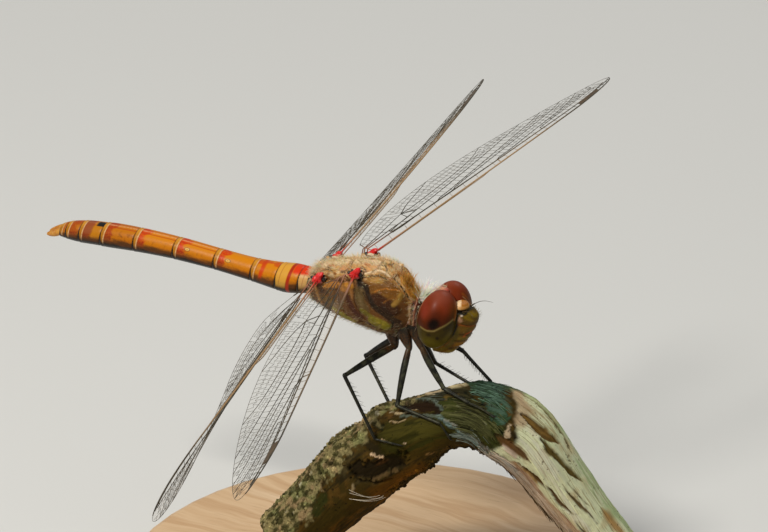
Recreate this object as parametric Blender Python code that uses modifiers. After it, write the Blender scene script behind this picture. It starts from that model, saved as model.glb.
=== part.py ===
# Common darter dragonfly (male), life size, gripping a bent stem that stands on a small display stand.
# Lengths below are millimetres and angles are degrees. Meshes are turned into metres as they are stored.
# World frame: +Z up, origin at the middle of the base's underside, body roughly along +X, left side +Y.
# Body frame: x forward, y left, z towards the back, origin in the middle of the thorax.

import bpy
import bmesh
from math import ceil, cos, pi, radians, sin, sqrt
from mathutils import Euler, Matrix, Vector

MM = 0.001

# Pose of the body over the base.
BODY_PLACE = Vector((-4.35, 2.45, 30.2))
BODY_ROLL = 10.0
BODY_PITCH = 6.5
HEAD_PLACE = Vector((8.78, 0.0, 0.25))
HEAD_ROLL = -13.0

# Clear gap left between neighbouring solids.
GAP = 0.12

# Wings. Chord measures are shares of the wing's length.
WING_THICKNESS = 0.5
WING_TIP = 0.998
WING_SPANS = 22
WING_CHORDS = 4
FOREWING = {
    "length": 29.0, "lead_drop": 0.100, "lead_turn": 0.79,
    "root_chord": 0.070, "widest": 0.232, "widest_at": 0.58, "spread": 0.67, "tip_bow": 2.0,
}
HINDWING = {
    "length": 28.0, "lead_drop": 0.087, "lead_turn": 0.73,
    "root_chord": 0.062, "widest": 0.324, "widest_at": 0.25, "spread": 0.29, "tip_bow": 1.04,
}
FORE_ROOT = (1.2, 1.56, 2.58)
HIND_ROOT = (-2.18, 1.70, 0.90)
# Sweep is forward, lift is upward, pitch turns the hind margin down, from the root to the tip.
WINGS = {
    "wing_fore_left": {"shape": FOREWING, "root": FORE_ROOT, "side": 1, "sweep": 19.7, "lift": 9.0,
                       "pitch": (21.3, 39.3), "bow": 0.009, "start": (0.004, 0.022)},
    "wing_fore_right": {"shape": FOREWING, "root": FORE_ROOT, "side": -1, "sweep": 13.7, "lift": 2.4,
                        "pitch": (23.8, 56.3), "bow": 0.012, "start": (0.004, 0.022)},
    "wing_hind_left": {"shape": HINDWING, "root": HIND_ROOT, "side": 1, "sweep": 0.7, "lift": 0.9,
                       "pitch": (53.3, 55.0), "bow": 0.050, "start": (0.008, 0.016)},
    "wing_hind_right": {"shape": HINDWING, "root": HIND_ROOT, "side": -1, "sweep": 0.5, "lift": -7.4,
                        "pitch": (48.2, 81.2), "bow": 0.008, "start": (0.008, 0.016)},
}

# Thorax sections: place along the body, top, underside, half width.
TRUNK_SIDES = 18
TRUNK_POWER = 2.4
THORAX_SECTIONS = (
    (-3.5, 0.1, -2.2, 1.15),
    (-2.9, 0.9, -2.6, 1.60),
    (-1.6, 1.7, -3.0, 1.95),
    (0.0, 2.5, -3.3, 2.20),
    (1.6, 3.0, -3.4, 2.35),
    (3.2, 3.4, -3.5, 2.35),
    (4.4, 3.1, -3.5, 2.10),
    (5.3, 2.4, -3.3, 1.65),
    (5.9, 1.5, -3.0, 1.15),
)
PROTHORAX_SECTIONS = (
    (6.0, 1.3, -2.6, 1.05),
    (6.4, 1.6, -2.5, 1.35),
    (6.8, 1.4, -2.2, 1.20),
    (7.0, 0.9, -1.8, 0.85),
)

# Abdomen: where each of the ten segments ends along the body, counted from the thorax.
ABDOMEN_JOINTS = (-3.6, -4.5, -6.65, -9.1, -12.7, -16.6, -20.4, -23.6, -25.75, -27.15, -27.85)
ABDOMEN_RADIUS = (
    (-3.6, 1.10), (-5.2, 1.30), (-6.7, 1.22), (-7.9, 1.10), (-9.4, 1.01), (-12.0, 0.95), (-15.0, 0.975),
    (-17.0, 1.00), (-19.0, 1.04), (-22.5, 1.10), (-24.0, 1.06), (-25.8, 0.99), (-27.2, 0.78), (-28.0, 0.53),
)
ABDOMEN_HEIGHT = ((-3.6, -1.1), (-6.6, -1.75), (-9.4, -2.05), (-13.0, -2.28), (-16.9, -2.62),
                  (-20.7, -3.18), (-24.0, -3.85), (-26.1, -4.36), (-27.5, -4.75), (-28.3, -5.1))
ABDOMEN_FLATNESS = 1.06
ABDOMEN_SIDES = 14
ABDOMEN_POWER = 2.1
ABDOMEN_RING_SPACING = 1.4

# The pair of claspers at the tail.
CLASPER_LENGTH = 1.35
CLASPER_DROP = 0.75
CLASPER_SPREAD = 0.32
CLASPER_BOW = 0.12
CLASPER_RADIUS = 0.27
CLASPER_SWELL = 0.04
CLASPER_STEPS = 5

# Head frame: x forward, y left, z up, origin between the eyes.
EYE_CENTRE = Vector((0.0, 1.35, 0.0))
EYE_SIZE = Vector((1.65, 1.75, 2.5))
EYE_LEAN = 12.0
EYE_SEGMENTS = 20
EYE_RINGS = 12
HEAD_BACK_CENTRE = Vector((-0.75, 0.0, -0.2))
HEAD_BACK_SIZE = Vector((1.05, 2.5, 2.15))
HEAD_BACK_SEGMENTS = 18
FACE_BACK = -0.1
FACE_POWER = 2.2
# Face sections: height, front, half width.
FACE_SECTIONS = (
    (1.55, 1.7, 0.45),
    (1.30, 2.5, 1.00),
    (0.75, 3.05, 1.35),
    (-0.45, 2.85, 1.60),
    (-1.45, 2.45, 1.75),
    (-2.40, 1.80, 1.60),
    (-3.05, 1.35, 1.15),
    (-3.40, 1.00, 0.55),
)
ANTENNA_BASE = Vector((1.85, 1.1, 1.25))
ANTENNA_REACH = Vector((1.6, 1.0, 0.2))
ANTENNA_ARCH = 0.3
ANTENNA_RADIUS = 0.25
ANTENNA_STEPS = 4

# Perch: a bent stem in an upright plane turned from the body's line.
# Its path lists the distance along that plane, the height and the radius.
PERCH_HEADING = 27.35
PERCH_PATH = (
    (-8.7, 7.8, 2.8), (-4.9, 11.9, 3.0), (-1.3, 15.5, 3.3), (3.0, 18.6, 2.85), (7.3, 20.2, 2.5),
    (11.0, 18.7, 3.0), (14.8, 13.6, 2.6), (18.0, 9.2, 2.2), (20.0, 6.6, 2.1),
)
PERCH_CUT_HEIGHT = 8.5
PERCH_SIDES = 16
PERCH_RINGS = 26
PERCH_TRIM = 0.01

# Legs: coxa, hip and knee in the body frame. The foot and the toe are places on the perch: the share of
# the way along the stem, and the turn round it in degrees (0 outside the bend, 90 towards the right side).
LEGS = {
    "leg_hind_right": {"coxa": (4.6, -0.9, -3.7), "hip": (4.8, -1.1, -3.95), "knee": (3.0, -6.6, -4.0),
                       "foot": (0.31, 45), "toe": (0.34, 68)},
    "leg_hind_left": {"coxa": (4.6, 0.9, -3.7), "hip": (4.7, 0.9, -4.0), "knee": (1.0, 1.0, -8.0),
                      "foot": (0.335, -60), "toe": (0.36, -84)},
    "leg_middle_right": {"coxa": (5.8, -0.9, -3.4), "hip": (6.1, -1.1, -3.6), "knee": (6.8, -4.35, -7.3),
                         "foot": (0.435, 68), "toe": (0.44, 95)},
    "leg_middle_left": {"coxa": (5.8, 0.9, -3.4), "hip": (6.0, 1.0, -3.7), "knee": (6.9, 2.25, -7.3),
                        "foot": (0.50, -60), "toe": (0.53, -84)},
    "leg_front_right": {"coxa": (6.8, -0.7, -2.9), "hip": (7.1, -0.9, -3.2), "knee": (9.9, -2.0, -5.9),
                        "foot": (0.495, 45), "toe": (0.54, 62)},
    "leg_front_left": {"coxa": (6.8, 0.7, -2.9), "hip": (7.0, 0.8, -3.2), "knee": (9.4, 2.3, -5.05),
                       "foot": (0.54, -50), "toe": (0.58, -68)},
}
FEMUR_RADIUS = 0.33
TIBIA_RADIUS = 0.25
COXA_RADIUS = 0.42
KNEE_ROUNDING = 0.35

# Stand.
BASE_RADIUS = 22.5
BASE_HEIGHT = 4.0
BASE_EDGE = 0.6
ROD_RADIUS = 0.9
ROD_SIDES = 16


# ---------- frames ----------

def frame_matrix(place, roll, pitch):
    turn = Euler((radians(roll), radians(pitch), 0.0)).to_matrix().to_4x4()
    return Matrix.Translation(place) @ turn


BODY_FRAME = frame_matrix(BODY_PLACE, BODY_ROLL, BODY_PITCH)
HEAD_FRAME = BODY_FRAME @ frame_matrix(HEAD_PLACE, HEAD_ROLL, 0.0)


# ---------- scene ----------

def clear_scene():
    for item in list(bpy.data.objects):
        bpy.data.objects.remove(item, do_unlink=True)


def new_collection(name):
    collection = bpy.data.collections.new(name)
    bpy.context.scene.collection.children.link(collection)
    return collection


def new_material(name, colour, roughness, metallic=0.0):
    material = bpy.data.materials.new(name)
    material.use_nodes = True
    shader = material.node_tree.nodes["Principled BSDF"]
    shader.inputs["Base Color"].default_value = (*colour, 1.0)
    shader.inputs["Roughness"].default_value = roughness
    shader.inputs["Metallic"].default_value = metallic
    material.diffuse_color = (*colour, 1.0)
    return material


def place(name, data, collection, material, frame):
    # Stores a mesh or curve that was modelled in millimetres, in the given frame.
    item = bpy.data.objects.new(name, data)
    item.matrix_world = Matrix.Scale(MM, 4) @ frame @ Matrix.Scale(1.0 / MM, 4)
    data.materials.append(material)
    collection.objects.link(item)
    return item


def store(name, bm, collection, material, frame, smooth_angle=40.0):
    bmesh.ops.scale(bm, vec=(MM, MM, MM), verts=bm.verts)
    mesh = bpy.data.meshes.new(name)
    bm.to_mesh(mesh)
    bm.free()
    mesh.shade_smooth()
    mesh.set_sharp_from_angle(angle=radians(smooth_angle))
    return place(name, mesh, collection, material, frame)


# ---------- shapes ----------

def between(table, at):
    # Reads a table of (place, value) rows in straight steps; places may rise or fall.
    rows = sorted(table)
    if at <= rows[0][0]:
        return rows[0][1]
    for (left, low), (right, high) in zip(rows, rows[1:]):
        if at <= right:
            share = (at - left) / (right - left)
            return low + (high - low) * share
    return rows[-1][1]


def smooth_path(points, share):
    # Catmull-Rom curve through the points; share runs from 0 at the first to 1 at the last.
    spans = len(points) - 1
    at = min(max(share, 0.0), 1.0) * spans
    index = min(int(at), spans - 1)
    t = at - index
    before = points[max(index - 1, 0)]
    start = points[index]
    end = points[index + 1]
    after = points[min(index + 2, spans)]
    value = []
    for p0, p1, p2, p3 in zip(before, start, end, after):
        value.append(0.5 * (2 * p1 + (p2 - p0) * t + (2 * p0 - 5 * p1 + 4 * p2 - p3) * t * t
                            + (3 * p1 - p0 - 3 * p2 + p3) * t ** 3))
    return value


def superellipse(half_width, half_height, sides, power):
    points = []
    for step in range(sides):
        angle = 2 * pi * (step + 0.5) / sides
        across = abs(cos(angle)) ** (2 / power) * (1 if cos(angle) > 0 else -1)
        up = abs(sin(angle)) ** (2 / power) * (1 if sin(angle) > 0 else -1)
        points.append((half_width * across, half_height * up))
    return points


def loft(rings):
    # Bridges rings with equal numbers of points into one closed body.
    bm = bmesh.new()
    loops = []
    for ring in rings:
        verts = bmesh.ops.create_circle(bm, segments=len(ring), radius=1.0)["verts"]
        for vert, point in zip(verts, ring):
            vert.co = point
        loops.append(list(dict.fromkeys(edge for vert in verts for edge in vert.link_edges)))
    for near, far in zip(loops, loops[1:]):
        bmesh.ops.bridge_loops(bm, edges=near + far)
    bmesh.ops.holes_fill(bm, edges=bm.edges)
    bmesh.ops.recalc_face_normals(bm, faces=bm.faces)
    return bm


def body_loft(sections):
    # Sections across the body's line: place, top, underside, half width.
    rings = []
    for x, top, bottom, half_width in sections:
        outline = superellipse(half_width, (top - bottom) / 2, TRUNK_SIDES, TRUNK_POWER)
        rings.append([Vector((x, y, (top + bottom) / 2 + z)) for y, z in outline])
    return loft(rings)


def ellipsoid(centre, size, segments, rings, turn=None):
    bm = bmesh.new()
    shape = Matrix.Translation(centre) @ (turn or Matrix.Identity(4)) @ Matrix.Diagonal((*size, 1.0))
    bmesh.ops.create_uvsphere(bm, u_segments=segments, v_segments=rings, radius=1.0, matrix=shape)
    return bm


def cut_flat(bm, point, normal):
    # Cuts away what lies on the normal's side of the plane and closes the cut.
    everything = list(bm.verts) + list(bm.edges) + list(bm.faces)
    bmesh.ops.bisect_plane(bm, geom=everything, plane_co=point, plane_no=normal, clear_outer=True)
    bmesh.ops.holes_fill(bm, edges=bm.edges)
    bmesh.ops.recalc_face_normals(bm, faces=bm.faces)


def tube(name, points, radii, collection, material, frame):
    # A curve of straight pieces with its thickness set at each point.
    curve = bpy.data.curves.new(name, "CURVE")
    curve.dimensions = "3D"
    curve.bevel_depth = MM
    curve.bevel_resolution = 2
    curve.use_fill_caps = True
    spline = curve.splines.new("POLY")
    spline.points.add(len(points) - 1)
    for knot, point, radius in zip(spline.points, points, radii):
        knot.co = (*(Vector(point) * MM), 1.0)
        knot.radius = radius
    return place(name, curve, collection, material, frame)


def subtract(item, cutter):
    modifier = item.modifiers.new("room for " + cutter.name, "BOOLEAN")
    modifier.operation = "DIFFERENCE"
    modifier.solver = "EXACT"
    modifier.object = cutter


# ---------- wings ----------

def chord_depth(shape, t):
    # Distance from the straight front line to the hind margin, as a share of the wing's length.
    if t < shape["widest_at"]:
        rise = sin(pi / 2 * t / shape["widest_at"]) ** shape["spread"]
        return shape["root_chord"] + (shape["widest"] - shape["root_chord"]) * rise
    outward = (t - shape["widest_at"]) / (1 - shape["widest_at"])
    fall = sqrt(max(0.0, 1 - outward ** shape["tip_bow"]))
    return shape["lead_drop"] + (shape["widest"] - shape["lead_drop"]) * fall


def lead_depth(shape, t):
    # How far the front margin falls behind its straight line towards the tip.
    outward = max(0.0, (t - shape["lead_turn"]) / (1 - shape["lead_turn"]))
    return shape["lead_drop"] * (1 - sqrt(max(0.0, 1 - outward ** 2)))


def wing_point(wing, t, c):
    # t runs from root to tip and c from the front margin to the hind margin.
    shape = wing["shape"]
    sweep = radians(wing["sweep"])
    lift = radians(wing["lift"])
    along = Vector((sin(sweep) * cos(lift), cos(sweep) * cos(lift), sin(lift)))
    ahead = Vector((cos(sweep), -sin(sweep), 0.0))
    above = ahead.cross(along)
    pitch = radians(wing["pitch"][0] + (wing["pitch"][1] - wing["pitch"][0]) * t)
    chord = ahead * cos(pitch) + above * sin(pitch)
    lead = lead_depth(shape, t)
    depth = lead + (chord_depth(shape, t) - lead) * c
    point = Vector(wing["root"]) + shape["length"] * (along * t - chord * depth + above * wing["bow"] * t * t)
    point.y *= wing["side"]
    return point


def make_wing(name, wing, collection, material):
    bm = bmesh.new()
    bmesh.ops.create_grid(bm, x_segments=WING_SPANS, y_segments=WING_CHORDS, size=0.5)
    for vert in bm.verts:
        c = vert.co.y + 0.5
        out = vert.co.x + 0.5
        start = wing["start"][0] + (wing["start"][1] - wing["start"][0]) * c
        t = start + (WING_TIP - start) * sin(pi / 2 * out)
        vert.co = wing_point(wing, t, c)
    item = store(name, bm, collection, material, BODY_FRAME)
    shell = item.modifiers.new("thickness", "SOLIDIFY")
    shell.thickness = WING_THICKNESS * MM
    shell.offset = 0.0
    return item


# ---------- trunk ----------

def make_trunk(collection, materials):
    store("thorax", body_loft(THORAX_SECTIONS), collection, materials["thorax"], BODY_FRAME)
    store("prothorax", body_loft(PROTHORAX_SECTIONS), collection, materials["thorax"], BODY_FRAME)


def abdomen_ring(x):
    radius = between(ABDOMEN_RADIUS, x)
    height = between(ABDOMEN_HEIGHT, x)
    outline = superellipse(radius * ABDOMEN_FLATNESS, radius, ABDOMEN_SIDES, ABDOMEN_POWER)
    return [Vector((x, y, height + z)) for y, z in outline]


def make_abdomen(collection, materials):
    for number, (front, back) in enumerate(zip(ABDOMEN_JOINTS, ABDOMEN_JOINTS[1:]), start=1):
        start = front - GAP / 2
        end = back + GAP / 2
        steps = max(2, ceil((start - end) / ABDOMEN_RING_SPACING))
        stations = [start + (end - start) * step / steps for step in range(steps + 1)]
        rings = [abdomen_ring(x) for x in stations]
        store(f"abdomen_{number}", loft(rings), collection, materials["abdomen"], BODY_FRAME)
    tail = ABDOMEN_JOINTS[-1] - GAP / 2
    height = between(ABDOMEN_HEIGHT, tail)
    for label, side in (("left", 1), ("right", -1)):
        points = []
        radii = []
        for step in range(CLASPER_STEPS + 1):
            share = step / CLASPER_STEPS
            apart = CLASPER_SPREAD + CLASPER_BOW * sin(pi * share)
            points.append((tail - CLASPER_LENGTH * share, side * apart, height - CLASPER_DROP * share))
            radii.append(CLASPER_RADIUS + CLASPER_SWELL * sin(pi * share))
        tube(f"appendage_{label}", points, radii, collection, materials["abdomen"], BODY_FRAME)


# ---------- head ----------

def eye_body(side, grow):
    turn = Matrix.Rotation(radians(EYE_LEAN * side), 4, "X")
    centre = Vector((EYE_CENTRE.x, EYE_CENTRE.y * side, EYE_CENTRE.z))
    size = EYE_SIZE + Vector((grow, grow, grow))
    bm = ellipsoid(centre, size, EYE_SEGMENTS, EYE_RINGS, turn)
    cut_flat(bm, Vector((0.0, side * (GAP / 2 - grow), 0.0)), Vector((0.0, -side, 0.0)))
    return bm


def face_rings():
    # Flat at the back, where it meets the rest of the head.
    rings = []
    for z, front, half_width in FACE_SECTIONS:
        outline = superellipse(half_width, front - FACE_BACK, TRUNK_SIDES, FACE_POWER)
        rings.append([Vector((FACE_BACK + max(ahead, 0.0), across, z)) for across, ahead in outline])
    return rings


def make_head(collection, cutters, materials):
    eyes = []
    for label, side in (("left", 1), ("right", -1)):
        store(f"eye_{label}", eye_body(side, 0.0), collection, materials["eye"], HEAD_FRAME)
        cutter = store(f"eye_{label}_room", eye_body(side, GAP), cutters, materials["eye"], HEAD_FRAME)
        cutter.hide_render = True
        cutter.display_type = "WIRE"
        eyes.append(cutter)
    back = ellipsoid(HEAD_BACK_CENTRE, HEAD_BACK_SIZE, HEAD_BACK_SEGMENTS, EYE_RINGS)
    cut_flat(back, Vector((FACE_BACK - GAP, 0.0, 0.0)), Vector((1.0, 0.0, 0.0)))
    head = store("head", back, collection, materials["head"], HEAD_FRAME)
    face = store("face", loft(face_rings()), collection, materials["face"], HEAD_FRAME)
    for cutter in eyes:
        subtract(head, cutter)
        subtract(face, cutter)
    for label, side in (("left", 1), ("right", -1)):
        points = []
        for step in range(ANTENNA_STEPS + 1):
            share = step / ANTENNA_STEPS
            point = ANTENNA_BASE + ANTENNA_REACH * share + Vector((0.0, 0.0, ANTENNA_ARCH * sin(pi * share)))
            point.y *= side
            points.append(point)
        radii = [ANTENNA_RADIUS] * len(points)
        tube(f"antenna_{label}", points, radii, collection, materials["leg"], HEAD_FRAME)


# ---------- perch ----------

PERCH_ALONG = Vector((cos(radians(PERCH_HEADING)), sin(radians(PERCH_HEADING)), 0.0))
PERCH_NEAR = Vector((sin(radians(PERCH_HEADING)), -cos(radians(PERCH_HEADING)), 0.0))


def perch_axis(share):
    along, up, radius = smooth_path(PERCH_PATH, share)
    return PERCH_ALONG * along + Vector((0.0, 0.0, up)), radius


def perch_surface(share, angle, clear=0.0):
    # A point on the stem's skin; angle 0 is the outer side of the bend, 90 faces the right side.
    step = PERCH_TRIM / 2
    centre, radius = perch_axis(share)
    tangent = (perch_axis(share + step)[0] - perch_axis(share - step)[0]).normalized()
    outward = PERCH_NEAR.cross(tangent).normalized()
    if outward.z < 0:
        outward.negate()
    turn = radians(angle)
    return centre + (outward * cos(turn) + PERCH_NEAR * sin(turn)) * (radius + clear)


def make_perch(collection, materials):
    rings = []
    for step in range(PERCH_RINGS):
        share = PERCH_TRIM + (1 - 2 * PERCH_TRIM) * step / (PERCH_RINGS - 1)
        rings.append([perch_surface(share, 360.0 * side / PERCH_SIDES) for side in range(PERCH_SIDES)])
    bm = loft(rings)
    cut_flat(bm, Vector((0.0, 0.0, PERCH_CUT_HEIGHT)), Vector((0.0, 0.0, -1.0)))
    store("perch", bm, collection, materials["perch"], Matrix.Identity(4))


# ---------- legs ----------

def rounded(points, radius):
    # Replaces each inner corner by three points on a short curve.
    path = [points[0]]
    for before, corner, after in zip(points, points[1:], points[2:]):
        start = corner + (before - corner).normalized() * radius
        end = corner + (after - corner).normalized() * radius
        middle = (start + 2 * corner + end) / 4
        path += [start, middle, end]
    path.append(points[-1])
    return path


def make_leg(name, leg, collection, material):
    coxa, hip, knee = (BODY_FRAME @ Vector(leg[joint]) for joint in ("coxa", "hip", "knee"))
    lift = TIBIA_RADIUS + GAP
    foot = perch_surface(*leg["foot"], lift)
    toe = perch_surface(*leg["toe"], lift)
    arch = perch_surface((leg["foot"][0] + leg["toe"][0]) / 2, (leg["foot"][1] + leg["toe"][1]) / 2, lift)
    thigh = [coxa, hip, hip.lerp(knee, 0.35), hip.lerp(knee, 0.75)]
    shin = rounded([hip.lerp(knee, 0.75), knee, foot, arch], KNEE_ROUNDING)[1:-1]
    points = thigh + shin + [arch, toe]
    radii = [COXA_RADIUS, FEMUR_RADIUS, FEMUR_RADIUS * 1.1, FEMUR_RADIUS]
    radii += [TIBIA_RADIUS * 1.15] * 3 + [TIBIA_RADIUS] * (len(points) - 7)
    tube(name, points, radii, collection, material, Matrix.Identity(4))


# ---------- stand ----------

def make_stand(collection, materials):
    bpy.ops.mesh.primitive_cylinder_add(vertices=48, radius=BASE_RADIUS * MM, depth=BASE_HEIGHT * MM,
                                        location=(0.0, 0.0, BASE_HEIGHT / 2 * MM))
    base = bpy.context.object
    base.name = "stand_base"
    base.data.name = "stand_base"
    base.data.materials.append(materials["wood"])
    base.data.shade_smooth()
    base.data.set_sharp_from_angle(angle=radians(30))
    edge = base.modifiers.new("eased edge", "BEVEL")
    edge.width = BASE_EDGE * MM
    edge.segments = 2
    for other in base.users_collection:
        other.objects.unlink(base)
    collection.objects.link(base)
    bottom = BASE_HEIGHT + GAP
    top = PERCH_CUT_HEIGHT - GAP
    for number, share in enumerate((0.0, 1.0), start=1):
        foot = perch_at_height(PERCH_CUT_HEIGHT, share)
        bm = bmesh.new()
        middle = Matrix.Translation((foot.x, foot.y, (bottom + top) / 2))
        bmesh.ops.create_cone(bm, cap_ends=True, segments=ROD_SIDES, radius1=ROD_RADIUS,
                              radius2=ROD_RADIUS, depth=top - bottom, matrix=middle)
        store(f"stand_rod_{number}", bm, collection, materials["brass"], Matrix.Identity(4))


def perch_at_height(height, end):
    # The stem's axis where it passes the given height, on the arm nearest to the given end.
    shares = [abs(end - step / 400) for step in range(100)]
    return min((perch_axis(share)[0] for share in shares), key=lambda point: abs(point.z - height))


# ---------- the whole ----------

def main():
    clear_scene()
    parts = new_collection("dragonfly")
    cutters = new_collection("cutters")
    materials = {
        "thorax": new_material("brown cuticle", (0.30, 0.14, 0.04), 0.5),
        "abdomen": new_material("orange cuticle", (0.62, 0.22, 0.03), 0.4),
        "head": new_material("dark cuticle", (0.20, 0.09, 0.04), 0.5),
        "face": new_material("olive cuticle", (0.34, 0.20, 0.04), 0.4),
        "eye": new_material("red brown eye", (0.25, 0.04, 0.02), 0.25),
        "leg": new_material("black cuticle", (0.03, 0.025, 0.02), 0.45),
        "wing": new_material("wing membrane", (0.45, 0.42, 0.35), 0.3),
        "perch": new_material("weathered bark", (0.28, 0.22, 0.14), 0.9),
        "wood": new_material("pale wood", (0.60, 0.46, 0.30), 0.5),
        "brass": new_material("brass", (0.72, 0.52, 0.25), 0.3, 1.0),
    }
    make_trunk(parts, materials)
    make_abdomen(parts, materials)
    make_head(parts, cutters, materials)
    for name, wing in WINGS.items():
        make_wing(name, wing, parts, materials["wing"])
    make_perch(parts, materials)
    for name, leg in LEGS.items():
        make_leg(name, leg, parts, materials["leg"])
    make_stand(parts, materials)


main()
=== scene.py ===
# Looks of a life-size common darter dragonfly, perched on a cut stem on a small display stand.
# Lengths below are millimetres and angles are degrees unless a note says otherwise.
import bpy
import random
from math import atan2, cos, exp, pi, radians, sin, sqrt
from mathutils import kdtree, Euler, Matrix, Vector, noise


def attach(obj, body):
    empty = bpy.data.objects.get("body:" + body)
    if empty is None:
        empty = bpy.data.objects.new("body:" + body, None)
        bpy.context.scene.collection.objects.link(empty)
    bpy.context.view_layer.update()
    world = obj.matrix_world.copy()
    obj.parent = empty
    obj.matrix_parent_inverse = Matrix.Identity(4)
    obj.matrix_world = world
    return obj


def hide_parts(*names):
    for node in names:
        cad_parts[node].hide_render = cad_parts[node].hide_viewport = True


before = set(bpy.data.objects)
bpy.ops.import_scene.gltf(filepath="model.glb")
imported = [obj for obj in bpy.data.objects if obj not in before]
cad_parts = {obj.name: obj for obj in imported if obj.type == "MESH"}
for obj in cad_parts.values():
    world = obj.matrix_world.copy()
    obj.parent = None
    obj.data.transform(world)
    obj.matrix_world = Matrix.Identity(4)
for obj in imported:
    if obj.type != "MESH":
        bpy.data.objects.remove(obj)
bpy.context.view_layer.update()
random.seed(7)

mm = 0.001
pose = {
    "bodyPlace": (-4.35, 2.45, 30.2), "bodyRoll": 10.0, "bodyPitch": 6.5,
    "headPlace": (8.78, 0.0, 0.25), "headRoll": -13.0,
}


def frameMatrix(place, roll, pitch):
    return Matrix.Translation(place) @ Euler((radians(roll), radians(pitch), 0.0)).to_matrix().to_4x4()


bodyFrame = frameMatrix(pose["bodyPlace"], pose["bodyRoll"], pose["bodyPitch"])
headFrame = bodyFrame @ frameMatrix(pose["headPlace"], pose["headRoll"], 0.0)
worldFrame = Matrix.Identity(4)
leftRight = (("left", 1), ("right", -1))


# number helpers

def blend(low, high, share):
    return low + (high - low) * share


def ease(value, low, high):
    # 0 below low, 1 above high, smooth between
    share = min(max((value - low) / (high - low), 0.0), 1.0)
    return share * share * (3 - 2 * share)


def fade(value, low, high):
    return 1 - ease(value, low, high)


def hump(value, centre, width):
    return exp(-((value - centre) / width) ** 2)


def readTable(rows, at, column=1):
    # straight steps between the rows of a table sorted by its first column
    if at <= rows[0][0]:
        return rows[0][column]
    for before, after in zip(rows, rows[1:]):
        if at <= after[0]:
            return blend(before[column], after[column], (at - before[0]) / (after[0] - before[0]))
    return rows[-1][column]


def smoothTable(rows, at, column=1):
    # the same table read along a smooth curve
    if at <= rows[0][0]:
        return rows[0][column]
    last = len(rows) - 1
    for index in range(last):
        if at <= rows[index + 1][0]:
            p0 = rows[max(index - 1, 0)]
            p1 = rows[index]
            p2 = rows[index + 1]
            p3 = rows[min(index + 2, last)]
            share = (at - p1[0]) / (p2[0] - p1[0])
            span = p2[0] - p1[0]
            m1 = span * (p2[column] - p0[column]) / max(p2[0] - p0[0], 1e-6)
            m2 = span * (p3[column] - p1[column]) / max(p3[0] - p1[0], 1e-6)
            s2, s3 = share * share, share ** 3
            return ((2 * s3 - 3 * s2 + 1) * p1[column] + (s3 - 2 * s2 + share) * m1
                    + (3 * s2 - 2 * s3) * p2[column] + (s3 - s2) * m2)
    return rows[last][column]


def scatter(spread):
    return Vector([random.gauss(0, spread) for _ in range(3)])


def smoothPath(points, share):
    # a smooth curve through a list of points, share 0 at the first and 1 at the last
    spans = len(points) - 1
    at = min(max(share, 0.0), 1.0) * spans
    index = min(int(at), spans - 1)
    t = at - index
    rows = [points[max(index - 1, 0)], points[index], points[index + 1], points[min(index + 2, spans)]]
    return [0.5 * (2 * b + (c - a) * t + (2 * a - 5 * b + 4 * c - d) * t * t
                   + (3 * b - a - 3 * c + d) * t ** 3)
            for a, b, c, d in zip(*rows)]


# materials

class Field:
    # a socket that can be used in arithmetic; every operation adds a Math node
    def __init__(self, finish, socket):
        self.finish = finish
        self.socket = socket

    def math(self, operation, *values):
        return self.finish.node("Math", {"operation": operation}, values)

    def __add__(self, other):
        return self.math("ADD", self, other)

    __radd__ = __add__

    def __sub__(self, other):
        return self.math("SUBTRACT", self, other)

    def __rsub__(self, other):
        return self.math("SUBTRACT", other, self)

    def __mul__(self, other):
        return self.math("MULTIPLY", self, other)

    __rmul__ = __mul__


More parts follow.
